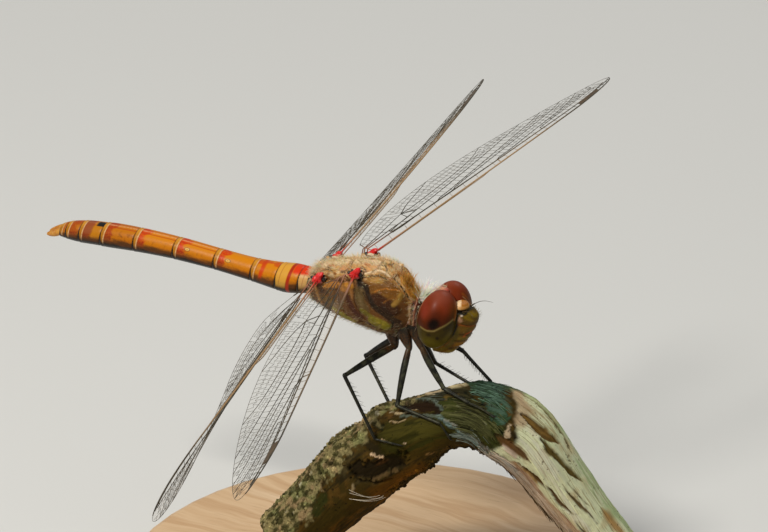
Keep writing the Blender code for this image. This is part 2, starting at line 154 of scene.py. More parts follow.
class Finish:
    # a material and the nodes in it
    def __init__(self, name, constants):
        self.material = bpy.data.materials.new(name)
        self.material.use_nodes = True
        self.tree = self.material.node_tree
        self.shader = self.tree.nodes["Principled BSDF"]
        for socket, value in constants.items():
            self.shader.inputs[socket].default_value = value

    def node(self, kind, settings, inputs=(), output=0):
        made = self.tree.nodes.new("ShaderNode" + kind)
        for name, value in settings.items():
            if name == "stops":
                ramp = made.color_ramp
                for place, colour in value[:-2]:
                    ramp.elements.new(place)
                for element, (place, colour) in zip(ramp.elements, value):
                    element.position = place
                for element, (place, colour) in zip(ramp.elements, value):
                    element.color = (*colour, 1.0)
            else:
                setattr(made, name, value)
        for key, value in (inputs.items() if isinstance(inputs, dict) else enumerate(inputs)):
            if isinstance(value, Field):
                self.tree.links.new(value.socket, made.inputs[key])
            elif isinstance(value, tuple) and len(value) == 3 and made.inputs[key].type == "RGBA":
                made.inputs[key].default_value = (*value, 1.0)
            else:
                made.inputs[key].default_value = value
        return Field(self, made.outputs[output])

    def mix(self, share, first, second, kind="MIX"):
        return self.node("Mix", {"data_type": "RGBA", "blend_type": kind}, {0: share, 6: first, 7: second}, 2)

    def dye(self, colour, by):
        return self.mix(1.0, colour, by, "MULTIPLY")

    def ramp(self, value, stops):
        return self.node("ValToRGB", {"stops": stops}, [value])

    def rise(self, value, low, high):
        # 0 below low, 1 above high
        return self.node("MapRange", {"interpolation_type": "SMOOTHSTEP"}, [value, low, high])

    def fall(self, value, low, high):
        return 1 - self.rise(value, low, high)

    def band(self, value, low, full, late, end):
        # 1 between full and late, 0 outside low and end
        return self.rise(value, low, full) * self.fall(value, late, end)

    def noise(self, place, scale, detail=3.0, rough=0.5):
        return self.node("TexNoise", {},
                         {"Vector": place, "Scale": scale, "Detail": detail, "Roughness": rough})

    def cells(self, place, scale):
        return self.node("TexVoronoi", {}, {"Vector": place, "Scale": scale})

    def place(self, frameUsed=worldFrame, stretch=(1.0, 1.0, 1.0)):
        # position in millimetres in the given frame
        here = self.node("TexCoord", {}, output=3)
        return self.node("Mapping", {"vector_type": "TEXTURE"}, {
            "Vector": here, "Location": frameUsed.translation * mm,
            "Rotation": frameUsed.to_euler(), "Scale": Vector(stretch) * mm})

    def split(self, place):
        return [self.node("SeparateXYZ", {}, [place], axis) for axis in range(3)]

    def join(self, x, y, z):
        return self.node("CombineXYZ", {}, [x, y, z])

    def value(self, attribute):
        return self.node("Attribute", {"attribute_name": attribute}, output=2)

    def paint(self):
        return self.node("Attribute", {"attribute_name": "paint"})

    def bump(self, height, distance, strength):
        return self.node("Bump", {}, {"Height": height, "Distance": distance * mm, "Strength": strength})

    def feed(self, **links):
        # links for sockets of the main shader, named without spaces
        for name, field in links.items():
            socket = {"baseColor": "Base Color", "roughness": "Roughness", "normal": "Normal",
                      "alpha": "Alpha"}[name]
            self.tree.links.new(field.socket, self.shader.inputs[socket])
        return self.material


# mesh helpers

def unpick():
    if bpy.context.object and bpy.context.object.mode != "OBJECT":
        bpy.ops.object.mode_set(mode="OBJECT")
    bpy.ops.object.select_all(action="DESELECT")


def pickOnly(piece):
    unpick()
    piece.select_set(True)
    bpy.context.view_layer.objects.active = piece


def addObject(name, data):
    piece = bpy.data.objects.new(name, data)
    bpy.context.scene.collection.objects.link(piece)
    return piece


def asMesh(piece):
    if piece.type == "MESH":
        return piece
    pickOnly(piece)
    bpy.ops.object.convert(target="MESH")
    return bpy.context.object


def faceOutwards(piece):
    pickOnly(piece)
    bpy.ops.object.mode_set(mode="EDIT")
    bpy.ops.mesh.select_all(action="SELECT")
    bpy.ops.mesh.normals_make_consistent(inside=False)
    bpy.ops.object.mode_set(mode="OBJECT")


def addBall(segments, rings):
    unpick()
    bpy.ops.mesh.primitive_uv_sphere_add(segments=segments, ring_count=rings, radius=1.0)
    return bpy.context.object


def addGrid(columns, rows):
    unpick()
    bpy.ops.mesh.primitive_grid_add(x_subdivisions=columns, y_subdivisions=rows, size=2.0)
    return bpy.context.object


def ovalAt(centre, size, lean=Matrix()):
    # a ball of radius 1 drawn out to size, leant and moved
    return Matrix.Translation(centre) @ (lean @ Matrix.Diagonal((*size, 1.0)))


def thicken(piece, thickness):
    sheet = piece.modifiers.new("sheet", "SOLIDIFY")
    sheet.thickness = thickness
    sheet.offset = 0.0
    applyAll(piece)
    faceOutwards(piece)


def applyAll(piece):
    pickOnly(piece)
    for modifier in list(piece.modifiers):
        bpy.ops.object.modifier_apply(modifier=modifier.name)


def addLevels(piece, levels):
    modifier = piece.modifiers.new("smooth", "SUBSURF")
    modifier.levels = levels
    modifier.render_levels = levels
    applyAll(piece)


def settle(piece, frameUsed, finish, replaced=(), smoothAngle=50):
    # from millimetres in a frame to metres in the world, with its material and its place in the table
    piece = asMesh(piece)
    piece.data.transform(Matrix.Scale(mm, 4) @ frameUsed)
    piece.data.materials.clear()
    piece.data.materials.append(finish)
    pickOnly(piece)
    bpy.ops.object.shade_smooth_by_angle(angle=radians(smoothAngle))
    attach(piece, "root")
    if replaced:
        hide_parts(*replaced)


def growRings(name, rings, sides):
    # a disc drawn out along x, ring by ring: x, height of the middle, half width, half height
    unpick()
    x, middle, wide, high = rings[0]
    bpy.ops.mesh.primitive_circle_add(vertices=sides, radius=1.0, fill_type="NGON",
                                      location=(x, 0, middle), rotation=(0, pi / 2, 0))
    piece = bpy.context.object
    piece.name = name
    bpy.ops.object.transform_apply(location=True, rotation=True, scale=True)
    bpy.ops.object.mode_set(mode="EDIT")
    bpy.ops.mesh.select_all(action="SELECT")
    bpy.ops.transform.resize(value=(1, wide, high), center_override=(x, 0, middle))
    for before, after in zip(rings, rings[1:]):
        bpy.ops.mesh.extrude_region_move(TRANSFORM_OT_translate={
            "value": (after[0] - before[0], 0, after[1] - before[1])})
        bpy.ops.transform.resize(value=(1, after[2] / before[2], after[3] / before[3]),
                                 center_override=(after[0], 0, after[1]))
    faceOutwards(piece)
    return piece


def join(name, pieces):
    unpick()
    for piece in pieces:
        piece.select_set(True)
    bpy.context.view_layer.objects.active = pieces[0]
    bpy.ops.object.join()
    pieces[0].name = name
    return pieces[0]


def storeValues(mesh, name, values):
    mesh.attributes.new(name, "FLOAT", "POINT").data.foreach_set("value", values)


def storePaint(mesh, colours):
    # one colour for each vertex
    flat = []
    for colour in colours:
        flat += [*colour, 1.0]
    mesh.attributes.new("paint", "FLOAT_COLOR", "POINT").data.foreach_set("color", flat)


def addValues(piece, name, reader):
    # one number for each vertex, worked out from its place
    storeValues(piece.data, name, [reader(vertex.co) for vertex in piece.data.vertices])


def addPaint(piece, reader):
    storePaint(piece.data, [reader(vertex.co) for vertex in piece.data.vertices])


def strands(name, lines, sides=0):
    # lines of (point, radius) as one curve with closed round tubes
    curve = bpy.data.curves.new(name, "CURVE")
    curve.dimensions = "3D"
    curve.bevel_depth = 1.0
    curve.bevel_resolution = sides
    curve.use_fill_caps = True
    for line in lines:
        spline = curve.splines.new("POLY")
        spline.points.add(len(line) - 1)
        for knot, (point, radius) in zip(spline.points, line):
            knot.co = (*point, 1.0)
            knot.radius = radius
    return addObject(name, curve)


print("frame loaded")

# abdomen: ten ringed segments in one shell, with the two claspers behind

abdomen = {
    "joints": (-3.6, -4.5, -6.65, -9.1, -12.7, -16.6, -20.4, -23.6, -25.75, -27.15, -27.85),
    "radius": ((-28.0, 0.53), (-27.2, 0.78), (-25.8, 0.99), (-24.0, 1.06), (-22.5, 1.1), (-19.0, 1.04),
               (-17.0, 1.0), (-15.0, 0.975), (-12.0, 0.95), (-9.4, 1.01), (-7.9, 1.1), (-6.7, 1.22),
               (-5.2, 1.3), (-3.6, 1.1), (-2.6, 1.0)),
    "height": ((-28.3, -5.1), (-27.5, -4.75), (-26.1, -4.36), (-24.0, -3.85), (-20.7, -3.18), (-16.9, -2.62),
               (-13.0, -2.28), (-9.4, -2.05), (-6.6, -1.75), (-3.6, -1.1), (-2.6, -0.95)),
    "flatness": 1.05, "sides": 40,
    "yellow": (0.56, 0.185, 0.0015), "orange": (0.42, 0.118, 0.001), "red": (0.5, 0.03, 0.002),
    "cream": (0.5, 0.23, 0.022), "pink": (0.56, 0.34, 0.15), "brown": (0.06, 0.018, 0.001),
    "belly": (0.004, 0.003, 0.001),
}


def abdomenRadius(x):
    return smoothTable(abdomen["radius"], x)


def abdomenHeight(x):
    return smoothTable(abdomen["height"], x)


def abdomenStations():
    # places along the body, close together at each joint, with how full the body is there
    rows = [(-2.7, 0.86), (-3.3, 0.88)]
    for front, back in zip(abdomen["joints"], abdomen["joints"][1:]):
        length = front - back
        rows += [(front - 0.02, 0.925), (front - 0.07, 0.958), (front - 0.16, 0.972), (front - 0.3, 0.978)]
        steps = max(1, round((length - 0.9) / 0.45))
        for step in range(1, steps):
            share = step / steps
            rows.append((front - 0.3 - (length - 0.8) * share, 0.978 + 0.01 * share))
        if length > 0.8:
            rows += [(back + 0.5, 0.99), (back + 0.42, 0.98), (back + 0.34, 0.983)]
        rows += [(back + 0.2, 0.993), (back + 0.1, 0.998), (back + 0.045, 0.99), (back + 0.01, 0.94)]
    return rows


def segmentAt(x):
    joints = abdomen["joints"]
    for index in range(10):
        if x > joints[index + 1]:
            return index, joints[index] - x, x - joints[index + 1]
    return 9, joints[9] - x, x - joints[10]


def aroundBody(co):
    # 0 along the back, 1 along the belly
    return atan2(abs(co.y), co.z - abdomenHeight(co.x)) / pi


def makeAbdomenFinish():
    look = Finish("abdomenCuticle", {"Roughness": 0.33, "Specular IOR Level": 0.16})
    here = look.place(bodyFrame)
    around = look.value("around")
    behind = look.value("fromJoint")
    ahead = look.value("toJoint")
    segment = look.value("segment")
    cloud = look.noise(here, 0.9, 4.0, 0.6)
    fine = look.noise(here, 7.0, 3.0, 0.6)
    long = look.noise(look.place(bodyFrame, (2.2, 0.35, 0.35)), 1.0, 4.0, 0.6)
    wander = (cloud - 0.5) * 0.5 + (fine - 0.5) * 0.12

    skin = look.mix(look.rise(around + wander * 0.3, 0.12, 0.55), abdomen["yellow"], abdomen["orange"])
    skin = look.mix(look.rise(long, 0.5, 0.72) * look.rise(around, 0.18, 0.4) * 0.5, skin,
                    (0.66, 0.28, 0.012))
    skin = look.mix(look.rise(segment, 4.6, 6.8) * 0.65, skin, (0.3, 0.08, 0.002))
    skin = look.mix(look.rise(segment, 7.5, 7.6) * 0.8, skin, (0.46, 0.155, 0.008))
    mottle = look.rise(look.noise(here, 3.2, 4.0, 0.6), 0.5, 0.66)
    skin = look.mix(mottle * (0.18 + 0.42 * look.rise(segment, 4.6, 6.0)) * look.rise(around, 0.1, 0.3), skin,
                    (0.13, 0.034, 0.002))
    # darker towards the belly: the real dark underside, deepened with painted shade on the lower flanks and
    # under the body
    under = around + wander * 0.22 + (long - 0.5) * 0.22
    skin = look.mix(look.rise(under, 0.345, 0.475) * 0.92, skin, abdomen["brown"])
    skin = look.mix(look.rise(under, 0.5, 0.6), skin, abdomen["belly"])

    # the red band ahead of each ring, reaching further along the back
    upper = look.fall(around, 0.36, 0.52)
    rear = look.rise(ahead, 0.44, 0.5)
    reach = 1.0 + 0.45 * look.fall(around, 0.03, 0.15) + wander * 1.7 + 0.2 * look.rise(around, 0.2, 0.32)
    band = rear * look.fall(ahead, reach - 0.2, reach + 0.12) * upper
    banded = look.band(segment, 2.4, 2.6, 8.4, 8.6)
    broad = look.rise(segment, 4.8, 6.2)
    red = look.mix(broad * 0.8, abdomen["red"], (0.26, 0.036, 0.003))
    red = look.mix(look.rise(around, 0.22, 0.4) * 0.7, red, (0.13, 0.016, 0.005))
    skin = look.mix(band * banded * (0.66 + 0.34 * look.rise(fine, 0.35, 0.6)), skin, red)

    # thin red lines along the back of the middle segments
    late = look.band(segment, 3.5, 4.0, 7.4, 7.6)
    line = look.band(around, 0.055, 0.075, 0.085, 0.105) * late
    skin = look.mix(line * 0.7, skin, (0.36, 0.035, 0.008))
    line = look.fall(around, 0.018, 0.034) * late * look.rise(fine, 0.35, 0.55)
    skin = look.mix(line * 0.6, skin, (0.66, 0.3, 0.14))

    # small pale ovals with a dark rim on the flanks
    oval = ((ahead - 1.36) * (ahead - 1.36) * 14.0 + (around - 0.25) * (around - 0.25) * 380.0) + wander * 0.5
    ovals = look.band(segment, 2.5, 3.0, 4.4, 4.6)
    skin = look.mix(look.fall(oval, 0.9, 1.5) * ovals * 0.8, skin, (0.22, 0.08, 0.01))
    skin = look.mix(look.fall(oval, 0.35, 0.7) * ovals, skin, (0.62, 0.38, 0.07))
    skin = look.mix(look.fall(oval, 0.06, 0.16) * ovals, skin, (0.5, 0.18, 0.01))

    # the two foremost segments: red rings between pale bands
    base = look.fall(segment, 2.4, 2.6)
    third = base * look.rise(segment, 1.4, 1.6)
    second = look.band(segment, 0.4, 0.6, 1.4, 1.6)
    first = look.fall(segment, 0.4, 0.6)
    ragged = ahead + wander * 0.8
    ring = look.band(ragged, 0.8, 0.95, 1.12, 1.32) * look.fall(around, 0.36, 0.52)
    skin = look.mix(third * ring * 0.85, skin, abdomen["red"])
    skin = look.mix(third * look.fall(around + wander * 0.2, 0.07, 0.12) * look.rise(cloud, 0.42, 0.52) * 0.8,
                    skin, (0.46, 0.045, 0.004))
    skin = look.mix(second * look.fall(ahead, 1.05, 1.2) * look.fall(around, 0.46, 0.6) * 0.75,
                    skin, (0.6, 0.32, 0.045))
    ring = look.band(ahead, 1.12, 1.2, 1.4, 1.52) * look.fall(around, 0.66, 0.8)
    skin = look.mix(second * ring, skin, (0.34, 0.022, 0.003))
    skin = look.mix(first * look.fall(around, 0.42, 0.62) * 0.85, skin, (0.56, 0.33, 0.11))
    cap = (first + second * look.rise(ahead, 1.4, 1.55)) * look.fall(around + wander * 0.25, 0.15, 0.22)
    skin = look.mix(cap, skin, (0.6, 0.035, 0.004))

    # eighth and ninth segments: a dull rose patch, and black along the back of the ninth
    late = look.band(segment, 6.5, 6.6, 7.4, 7.5)
    front = late * look.fall(behind, 0.75, 1.05)
    skin = look.mix(front * look.fall(around, 0.36, 0.5) * 0.8, skin, (0.44, 0.165, 0.004))
    rose = late * look.fall(around + wander * 0.3, 0.3, 0.4) * look.rise(ahead, 0.25, 0.4)
    rose = rose * look.fall(ahead + wander, 1.15, 1.4)
    skin = look.mix(rose * 0.85, skin, (0.24, 0.062, 0.018))
    rust = look.rise(segment, 7.5, 7.6) * look.fall(around + wander * 0.3, 0.26, 0.42) * look.rise(cloud,
                                                                                                   0.35, 0.5)
    skin = look.mix(rust * 0.7, skin, (0.34, 0.075, 0.006))
    spot = late * look.fall(around, 0.085, 0.12) * look.fall(behind, 0.55, 0.8)
    skin = look.mix(spot, skin, (0.012, 0.012, 0.012))

    # at each joint a black line, a yellow zone and a thin pale ring ahead of them
    aloft = look.fall(around + wander * 0.2, 0.4, 0.56)
    zone = look.fall(ahead + wander * 0.1, 0.3, 0.36) * look.rise(segment, 1.5, 1.6) * aloft
    skin = look.mix(zone * 0.85, skin, look.mix(look.rise(around, 0.06, 0.24), abdomen["cream"],
                                                (0.34, 0.135, 0.006)))
    ring = look.band(ahead, 0.31, 0.35, 0.42, 0.46) * look.rise(segment, 1.5, 1.6)
    ringFade = look.fall(around + wander * 0.2, 0.46, 0.62)
    skin = look.mix(ring * ringFade * (0.45 + 0.5 * look.rise(fine, 0.3, 0.6)), skin, abdomen["pink"])
    rim = look.band(ahead, 0.43, 0.46, 0.48, 0.54) * aloft
    skin = look.mix(rim * 0.5, skin, (0.2, 0.03, 0.01))
    dark = 1 - look.rise(ahead - 0.13 * look.rise(around, 0.24, 0.5), 0.05, 0.09) * look.rise(behind, 0.03,
                                                                                              0.06)
    skin = look.mix(dark * (0.65 + 0.35 * look.rise(around, 0.1, 0.22)), skin, (0.01, 0.007, 0.005))

    speck = look.rise(look.noise(here, 14.0, 2.0), 0.6, 0.72) * look.rise(around, 0.2, 0.4) * 0.35
    skin = look.mix(speck, skin, (0.2, 0.05, 0.01))
    rough = 0.28 + 0.16 * fine + 0.15 * look.rise(around, 0.6, 0.9)
    grain = look.noise(look.place(bodyFrame, (0.35, 1.0, 1.0)), 16.0, 2.0)
    normal = look.bump(cloud * 0.6 + fine * 0.25 + grain * 0.25, 0.035, 0.6)
    return look.feed(baseColor=skin, roughness=rough, normal=normal)


def makeAbdomen():
    rings = []
    for x, full in abdomenStations():
        radius = abdomenRadius(x) * full
        rings.append((x, abdomenHeight(x), radius * abdomen["flatness"], radius))
    piece = growRings("abdomenShell", rings, abdomen["sides"])
    for vertex in piece.data.vertices:
        # a low keel along the back, a flatter belly and a small bulge under the second segment
        co = vertex.co
        around = aroundBody(co)
        height = abdomenHeight(co.x)
        lift = 0.035 * hump(around, 0.0, 0.05) - 0.05 * hump(around, 1.0, 0.18)
        lift += 0.1 * hump(around, 1.0, 0.22) * hump(co.x, -5.9, 0.5)
        lift -= 0.03 * hump(around, 0.7, 0.05)
        scale = 1 + lift / max(abdomenRadius(co.x), 0.4)
        vertex.co = (co.x, co.y * scale, height + (co.z - height) * scale)
    addLevels(piece, 1)
    addValues(piece, "around", aroundBody)
    addValues(piece, "segment", lambda co: segmentAt(co.x)[0])
    addValues(piece, "fromJoint", lambda co: segmentAt(co.x)[1])
    addValues(piece, "toJoint", lambda co: segmentAt(co.x)[2])
    replaced = [f"abdomen_{number}" for number in range(1, 11)]
    settle(piece, bodyFrame, makeAbdomenFinish(), replaced, 70)


def makeClasperFinish():
    look = Finish("clasperCuticle", {"Roughness": 0.45, "Specular IOR Level": 0.35})
    here = look.place(bodyFrame)
    cloud = look.noise(here, 2.5, 4.0)
    skin = look.mix(look.rise(cloud, 0.35, 0.65), (0.52, 0.235, 0.03), (0.42, 0.14, 0.01))
    skin = look.mix(look.rise(look.noise(here, 6.0), 0.55, 0.7) * 0.6, skin, (0.66, 0.42, 0.14))
    grit = look.noise(here, 9.0, 3.0)
    return look.feed(baseColor=skin, roughness=0.42 + 0.2 * cloud,
                     normal=look.bump(cloud + grit * 0.5, 0.05, 0.8))


def makeClaspers():
    # two blunt hooks with a short plate between them
    finish = makeClasperFinish()
    tail = abdomen["joints"][-1] - 0.02
    height = abdomenHeight(tail)
    for label, side in leftRight:
        rings = []
        for share, thick in ((-0.3, 0.28), (0.0, 0.36), (0.15, 0.38), (0.4, 0.34), (0.65, 0.26), (0.85, 0.19),
                             (0.96, 0.12), (1.0, 0.05)):
            rings.append((tail - 1.37 * share, height - 0.75 * share, thick, thick * 1.05))
        piece = growRings(f"clasper_{label}", rings, 12)
        for vertex in piece.data.vertices:
            share = max(0.0, (tail - vertex.co.x) / 1.35)
            vertex.co.y += side * (0.3 + 0.1 * sin(pi * share) - 0.06 * share)
        addLevels(piece, 2)
        settle(piece, bodyFrame, finish, [f"appendage_{label}"])
    plate = growRings("tailPlate", [(tail + 0.2, height - 0.1, 0.3, 0.2),
                                    (tail - 0.15, height - 0.25, 0.3, 0.17),
                                    (tail - 0.5, height - 0.42, 0.2, 0.12),
                                    (tail - 0.75, height - 0.52, 0.06, 0.05)], 12)
    addLevels(plate, 2)
    settle(plate, bodyFrame, finish)


makeAbdomen()
makeClaspers()
print("abdomen made")

# wings: a pleated clear membrane on a net of veins
# t runs from root to tip and q is the distance behind the front margin, both as shares of the length

forewing = {
    "length": 29.0, "leadDrop": 0.1, "leadTurn": 0.79,
    "rootChord": 0.07, "rootShare": 0.95, "widest": 0.232, "widestAt": 0.58, "spread": 0.67, "tipBow": 2.0,
    "nodus": 0.505, "stigma": (0.83, 0.912), "arculus": 0.105,
    "triangle": ((0.185, 0.064), (0.224, 0.07), (0.192, 0.108)),
    "veins": {
        "sub": ((0, 0.014), (0.1, 0.0145), (0.3, 0.013), (0.42, 0.011), (0.48, 0.007), (0.505, 0.0)),
        "radius": ((0, 0.029), (0.1, 0.029), (0.3, 0.026), (0.5, 0.0235), (0.8, 0.0215), (0.915, 0.021),
                   (0.96, 0.018), (0.988, 0.011)),
        "sector": ((0.105, 0.037), (0.16, 0.044), (0.25, 0.049), (0.4, 0.048), (0.5, 0.0455), (0.6, 0.044),
                   (0.75, 0.042), (0.85, 0.041), (0.92, 0.037), (0.97, 0.03)),
        "inter1": ((0.7, 0.056), (0.8, 0.066), (0.88, 0.073), (0.94, 0.078), (0.96, 0.09)),
        "second": ((0.53, 0.046), (0.6, 0.058), (0.7, 0.078), (0.8, 0.1), (0.87, 0.122), (0.925, 0.15)),
        "inter2": ((0.36, 0.05), (0.45, 0.06), (0.55, 0.078), (0.65, 0.1), (0.75, 0.127), (0.82, 0.153),
                   (0.875, 0.187)),
        "third": ((0.3, 0.05), (0.4, 0.072), (0.5, 0.096), (0.6, 0.124), (0.7, 0.158), (0.77, 0.19),
                  (0.81, 0.21)),
        "media": ((0.105, 0.05), (0.2, 0.064), (0.3, 0.08), (0.4, 0.1), (0.5, 0.125), (0.6, 0.158),
                  (0.68, 0.192), (0.735, 0.222)),
        "hindmost": ((0.192, 0.108), (0.25, 0.114), (0.35, 0.131), (0.45, 0.156), (0.53, 0.19),
                     (0.585, 0.232)),
        "cubitus": ((0.192, 0.108), (0.23, 0.133), (0.28, 0.16), (0.33, 0.188), (0.37, 0.215)),
        "stem": ((0, 0.047), (0.1, 0.056), (0.15, 0.06), (0.185, 0.064)),
        "anal": ((0, 0.056), (0.06, 0.07), (0.12, 0.088), (0.192, 0.108)),
    },
    "bands": (
        ("sub", "radius", 0.03, 0.49, 1.7, 9.0), ("front", "sub", 0.03, 0.485, 1.7, 9.0),
        ("front", "radius", 0.535, 0.825, 1.1, 9.0), ("front", "radius", 0.925, 0.985, 0.55, 9.0),
        ("radius", "sector", 0.2, 0.97, 1.05, 9.0), ("sector", "media", 0.15, 0.3, 1.2, 9.0),
        ("sector", "third", 0.32, 0.36, 0.9, 9.0), ("sector", "inter2", 0.37, 0.53, 0.95, 0.9),
        ("third", "media", 0.31, 0.81, 0.62, 0.78), ("inter2", "third", 0.38, 0.875, 0.6, 0.66),
        ("sector", "second", 0.55, 0.7, 0.75, 0.8), ("sector", "inter1", 0.71, 0.965, 0.55, 0.62),
        ("inter1", "second", 0.72, 0.955, 0.52, 0.52), ("second", "inter2", 0.54, 0.925, 0.56, 0.58),
        ("media", "hindmost", 0.215, 0.735, 0.62, 0.62), ("hindmost", "cubitus", 0.205, 0.585, 0.56, 0.66),
        ("cubitus", "margin", 0.2, 0.37, 0.56, 0.6), ("anal", "margin", 0.03, 0.195, 0.62, 0.62),
        ("stem", "anal", 0.06, 0.17, 1.1, 9.0), ("radius", "stem", 0.115, 0.18, 1.3, 9.0),
    ),
}
hindwing = {
    "length": 28.0, "leadDrop": 0.087, "leadTurn": 0.73,
    "rootChord": 0.062, "rootShare": 0.42, "widest": 0.324, "widestAt": 0.25, "spread": 0.29, "tipBow": 1.04,
    "nodus": 0.42, "stigma": (0.815, 0.905), "arculus": 0.075,
    "triangle": ((0.098, 0.056), (0.158, 0.068), (0.105, 0.088)),
    "veins": {
        "sub": ((0, 0.014), (0.1, 0.015), (0.3, 0.0125), (0.38, 0.009), (0.42, 0.0)),
        "radius": ((0, 0.03), (0.1, 0.03), (0.3, 0.026), (0.42, 0.024), (0.8, 0.0215), (0.91, 0.021),
                   (0.96, 0.017), (0.988, 0.01)),
        "sector": ((0.075, 0.038), (0.15, 0.047), (0.25, 0.05), (0.42, 0.047), (0.6, 0.045), (0.75, 0.043),
                   (0.85, 0.041), (0.92, 0.036), (0.97, 0.027)),
        "inter1": ((0.68, 0.06), (0.78, 0.074), (0.88, 0.088), (0.94, 0.115)),
        "second": ((0.45, 0.048), (0.55, 0.064), (0.65, 0.086), (0.75, 0.11), (0.83, 0.14), (0.885, 0.17)),
        "inter2": ((0.3, 0.051), (0.4, 0.066), (0.5, 0.09), (0.6, 0.117), (0.7, 0.15), (0.78, 0.185),
                   (0.825, 0.205)),
        "third": ((0.25, 0.051), (0.35, 0.078), (0.45, 0.107), (0.55, 0.14), (0.65, 0.18), (0.71, 0.215),
                  (0.74, 0.232)),
        "media": ((0.075, 0.05), (0.15, 0.067), (0.25, 0.091), (0.35, 0.122), (0.45, 0.16), (0.54, 0.205),
                  (0.6, 0.24), (0.635, 0.256)),
        "hindmost": ((0.105, 0.088), (0.2, 0.113), (0.3, 0.152), (0.38, 0.198), (0.44, 0.245),
                     (0.485, 0.287)),
        "cubitus": ((0.105, 0.088), (0.17, 0.125), (0.24, 0.175), (0.3, 0.225), (0.345, 0.27), (0.38, 0.305)),
        "loop": ((0.062, 0.08), (0.08, 0.135), (0.105, 0.19), (0.14, 0.228), (0.19, 0.25), (0.25, 0.256),
                 (0.325, 0.25)),
        "stem": ((0, 0.046), (0.05, 0.053), (0.098, 0.056)),
        "anal": ((0, 0.054), (0.04, 0.068), (0.062, 0.08), (0.105, 0.088)),
    },
    "bands": (
        ("sub", "radius", 0.03, 0.4, 1.55, 9.0), ("front", "sub", 0.03, 0.395, 1.55, 9.0),
        ("front", "radius", 0.45, 0.81, 1.05, 9.0), ("front", "radius", 0.92, 0.985, 0.55, 9.0),
        ("radius", "sector", 0.16, 0.97, 1.05, 9.0), ("sector", "media", 0.11, 0.25, 1.1, 9.0),
        ("sector", "third", 0.265, 0.3, 0.8, 9.0), ("sector", "inter2", 0.31, 0.45, 0.9, 0.9),
        ("third", "media", 0.26, 0.74, 0.62, 0.74), ("inter2", "third", 0.32, 0.825, 0.6, 0.66),
        ("sector", "second", 0.465, 0.68, 0.72, 0.8), ("sector", "inter1", 0.69, 0.965, 0.55, 0.62),
        ("inter1", "second", 0.7, 0.94, 0.52, 0.52), ("second", "inter2", 0.46, 0.885, 0.56, 0.58),
        ("media", "hindmost", 0.16, 0.635, 0.62, 0.64), ("hindmost", "cubitus", 0.125, 0.485, 0.58, 0.66),
        ("cubitus", "loop", 0.105, 0.325, 0.58, 0.7), ("loop", "margin", 0.07, 0.325, 0.58, 0.6),
        ("cubitus", "margin", 0.33, 0.38, 0.55, 0.6), ("anal", "margin", 0.012, 0.068, 0.62, 0.66),
        ("stem", "anal", 0.035, 0.09, 1.0, 9.0),
    ),
}
# a band with taller rows than this has a single row of cells, with straight sides
oneRow = 5
# how far each vein stands above (+) or below (-) the blade, as a share of the pleat depth
veinHeights = {"sub": -1.7, "radius": 1.0, "sector": -0.7, "inter1": 0.3, "second": -0.45, "inter2": 0.45,
               "third": -0.4, "media": 0.4, "hindmost": -0.4, "cubitus": 0.4, "loop": -0.2, "stem": 0.3,
               "anal": -0.2}
veinRadii = {"sub": 0.05, "radius": 0.068, "sector": 0.05, "inter1": 0.034, "second": 0.042, "inter2": 0.04,
             "third": 0.042, "media": 0.044, "hindmost": 0.042, "cubitus": 0.042, "loop": 0.036,
             "stem": 0.058,
             "anal": 0.048}
wings = {
    "pleat": 0.0065, "costaRadius": 0.07, "marginRadius": 0.018, "crossRadius": 0.0135, "crossFull": 1.45,
    "rootAt": 0.006, "tipAt": 0.999, "rootRadius": 0.05, "joinRadius": 0.04, "veinTaper": 0.62,
    "sheet": 0.016, "sheetGrid": (110, 54), "stigmaSheet": 0.075, "membraneAlpha": 0.075,
    # the long veins that bend down into the back: distance behind the front margin and radius
    "deepVeins": ((0.03, 0.06), (0.047, 0.056), (0.058, 0.046)),
    # long veins that end before the hind margin, and those that begin as a fork of the sector
    "short": ("sub", "radius", "sector", "stem", "anal", "loop"),
    "forks": ("second", "inter2", "third", "inter1"),
    # the sheen values make the hind wings more opaque: a painted sheen of light glancing off the membrane
    "each": {
        "wing_fore_left": {
            "shape": forewing, "root": (1.2, 1.56, 2.58), "side": 1, "sweep": 19.7, "lift": 9.0,
            "pitch": (21.3, 39.3), "bow": 0.009, "sheen": 0.01, "amber": 0.85,
        },
        "wing_fore_right": {
            "shape": forewing, "root": (1.2, 1.56, 2.58), "side": -1, "sweep": 13.7, "lift": 2.4,
            "pitch": (23.8, 56.3), "bow": 0.012, "sheen": 0.03, "amber": 0.25,
        },
        "wing_hind_left": {
            "shape": hindwing, "root": (-2.18, 1.7, 0.9), "side": 1, "sweep": 0.7, "lift": 0.9,
            "pitch": (53.3, 55.0), "bow": 0.05, "sheen": 0.13, "amber": 0.85,
        },
        "wing_hind_right": {
            "shape": hindwing, "root": (-2.18, 1.7, 0.9), "side": -1, "sweep": 0.5, "lift": -7.4,
            "pitch": (48.2, 81.2), "bow": 0.008, "sheen": 0.12, "amber": 0.8,
        },
    },
}


def chordDepth(shape, t):
    if t < shape["widestAt"]:
        rise = sin(pi / 2 * max(t, 0.0) / shape["widestAt"]) ** shape["spread"]
        narrow = blend(shape["rootShare"], 1.0, ease(t, 0.0, 0.06))
        return (shape["rootChord"] + (shape["widest"] - shape["rootChord"]) * rise) * narrow
    outward = (t - shape["widestAt"]) / (1 - shape["widestAt"])
    fall = sqrt(max(0.0, 1 - min(outward, 1.0) ** shape["tipBow"]))
    return shape["leadDrop"] + (shape["widest"] - shape["leadDrop"]) * fall


def leadDepth(shape, t):
    outward = min(1.0, max(0.0, (t - shape["leadTurn"]) / (1 - shape["leadTurn"])))
    return shape["leadDrop"] * (1 - sqrt(max(0.0, 1 - outward ** 2)))


def bladeWidth(shape, t):
    return chordDepth(shape, t) - leadDepth(shape, t)


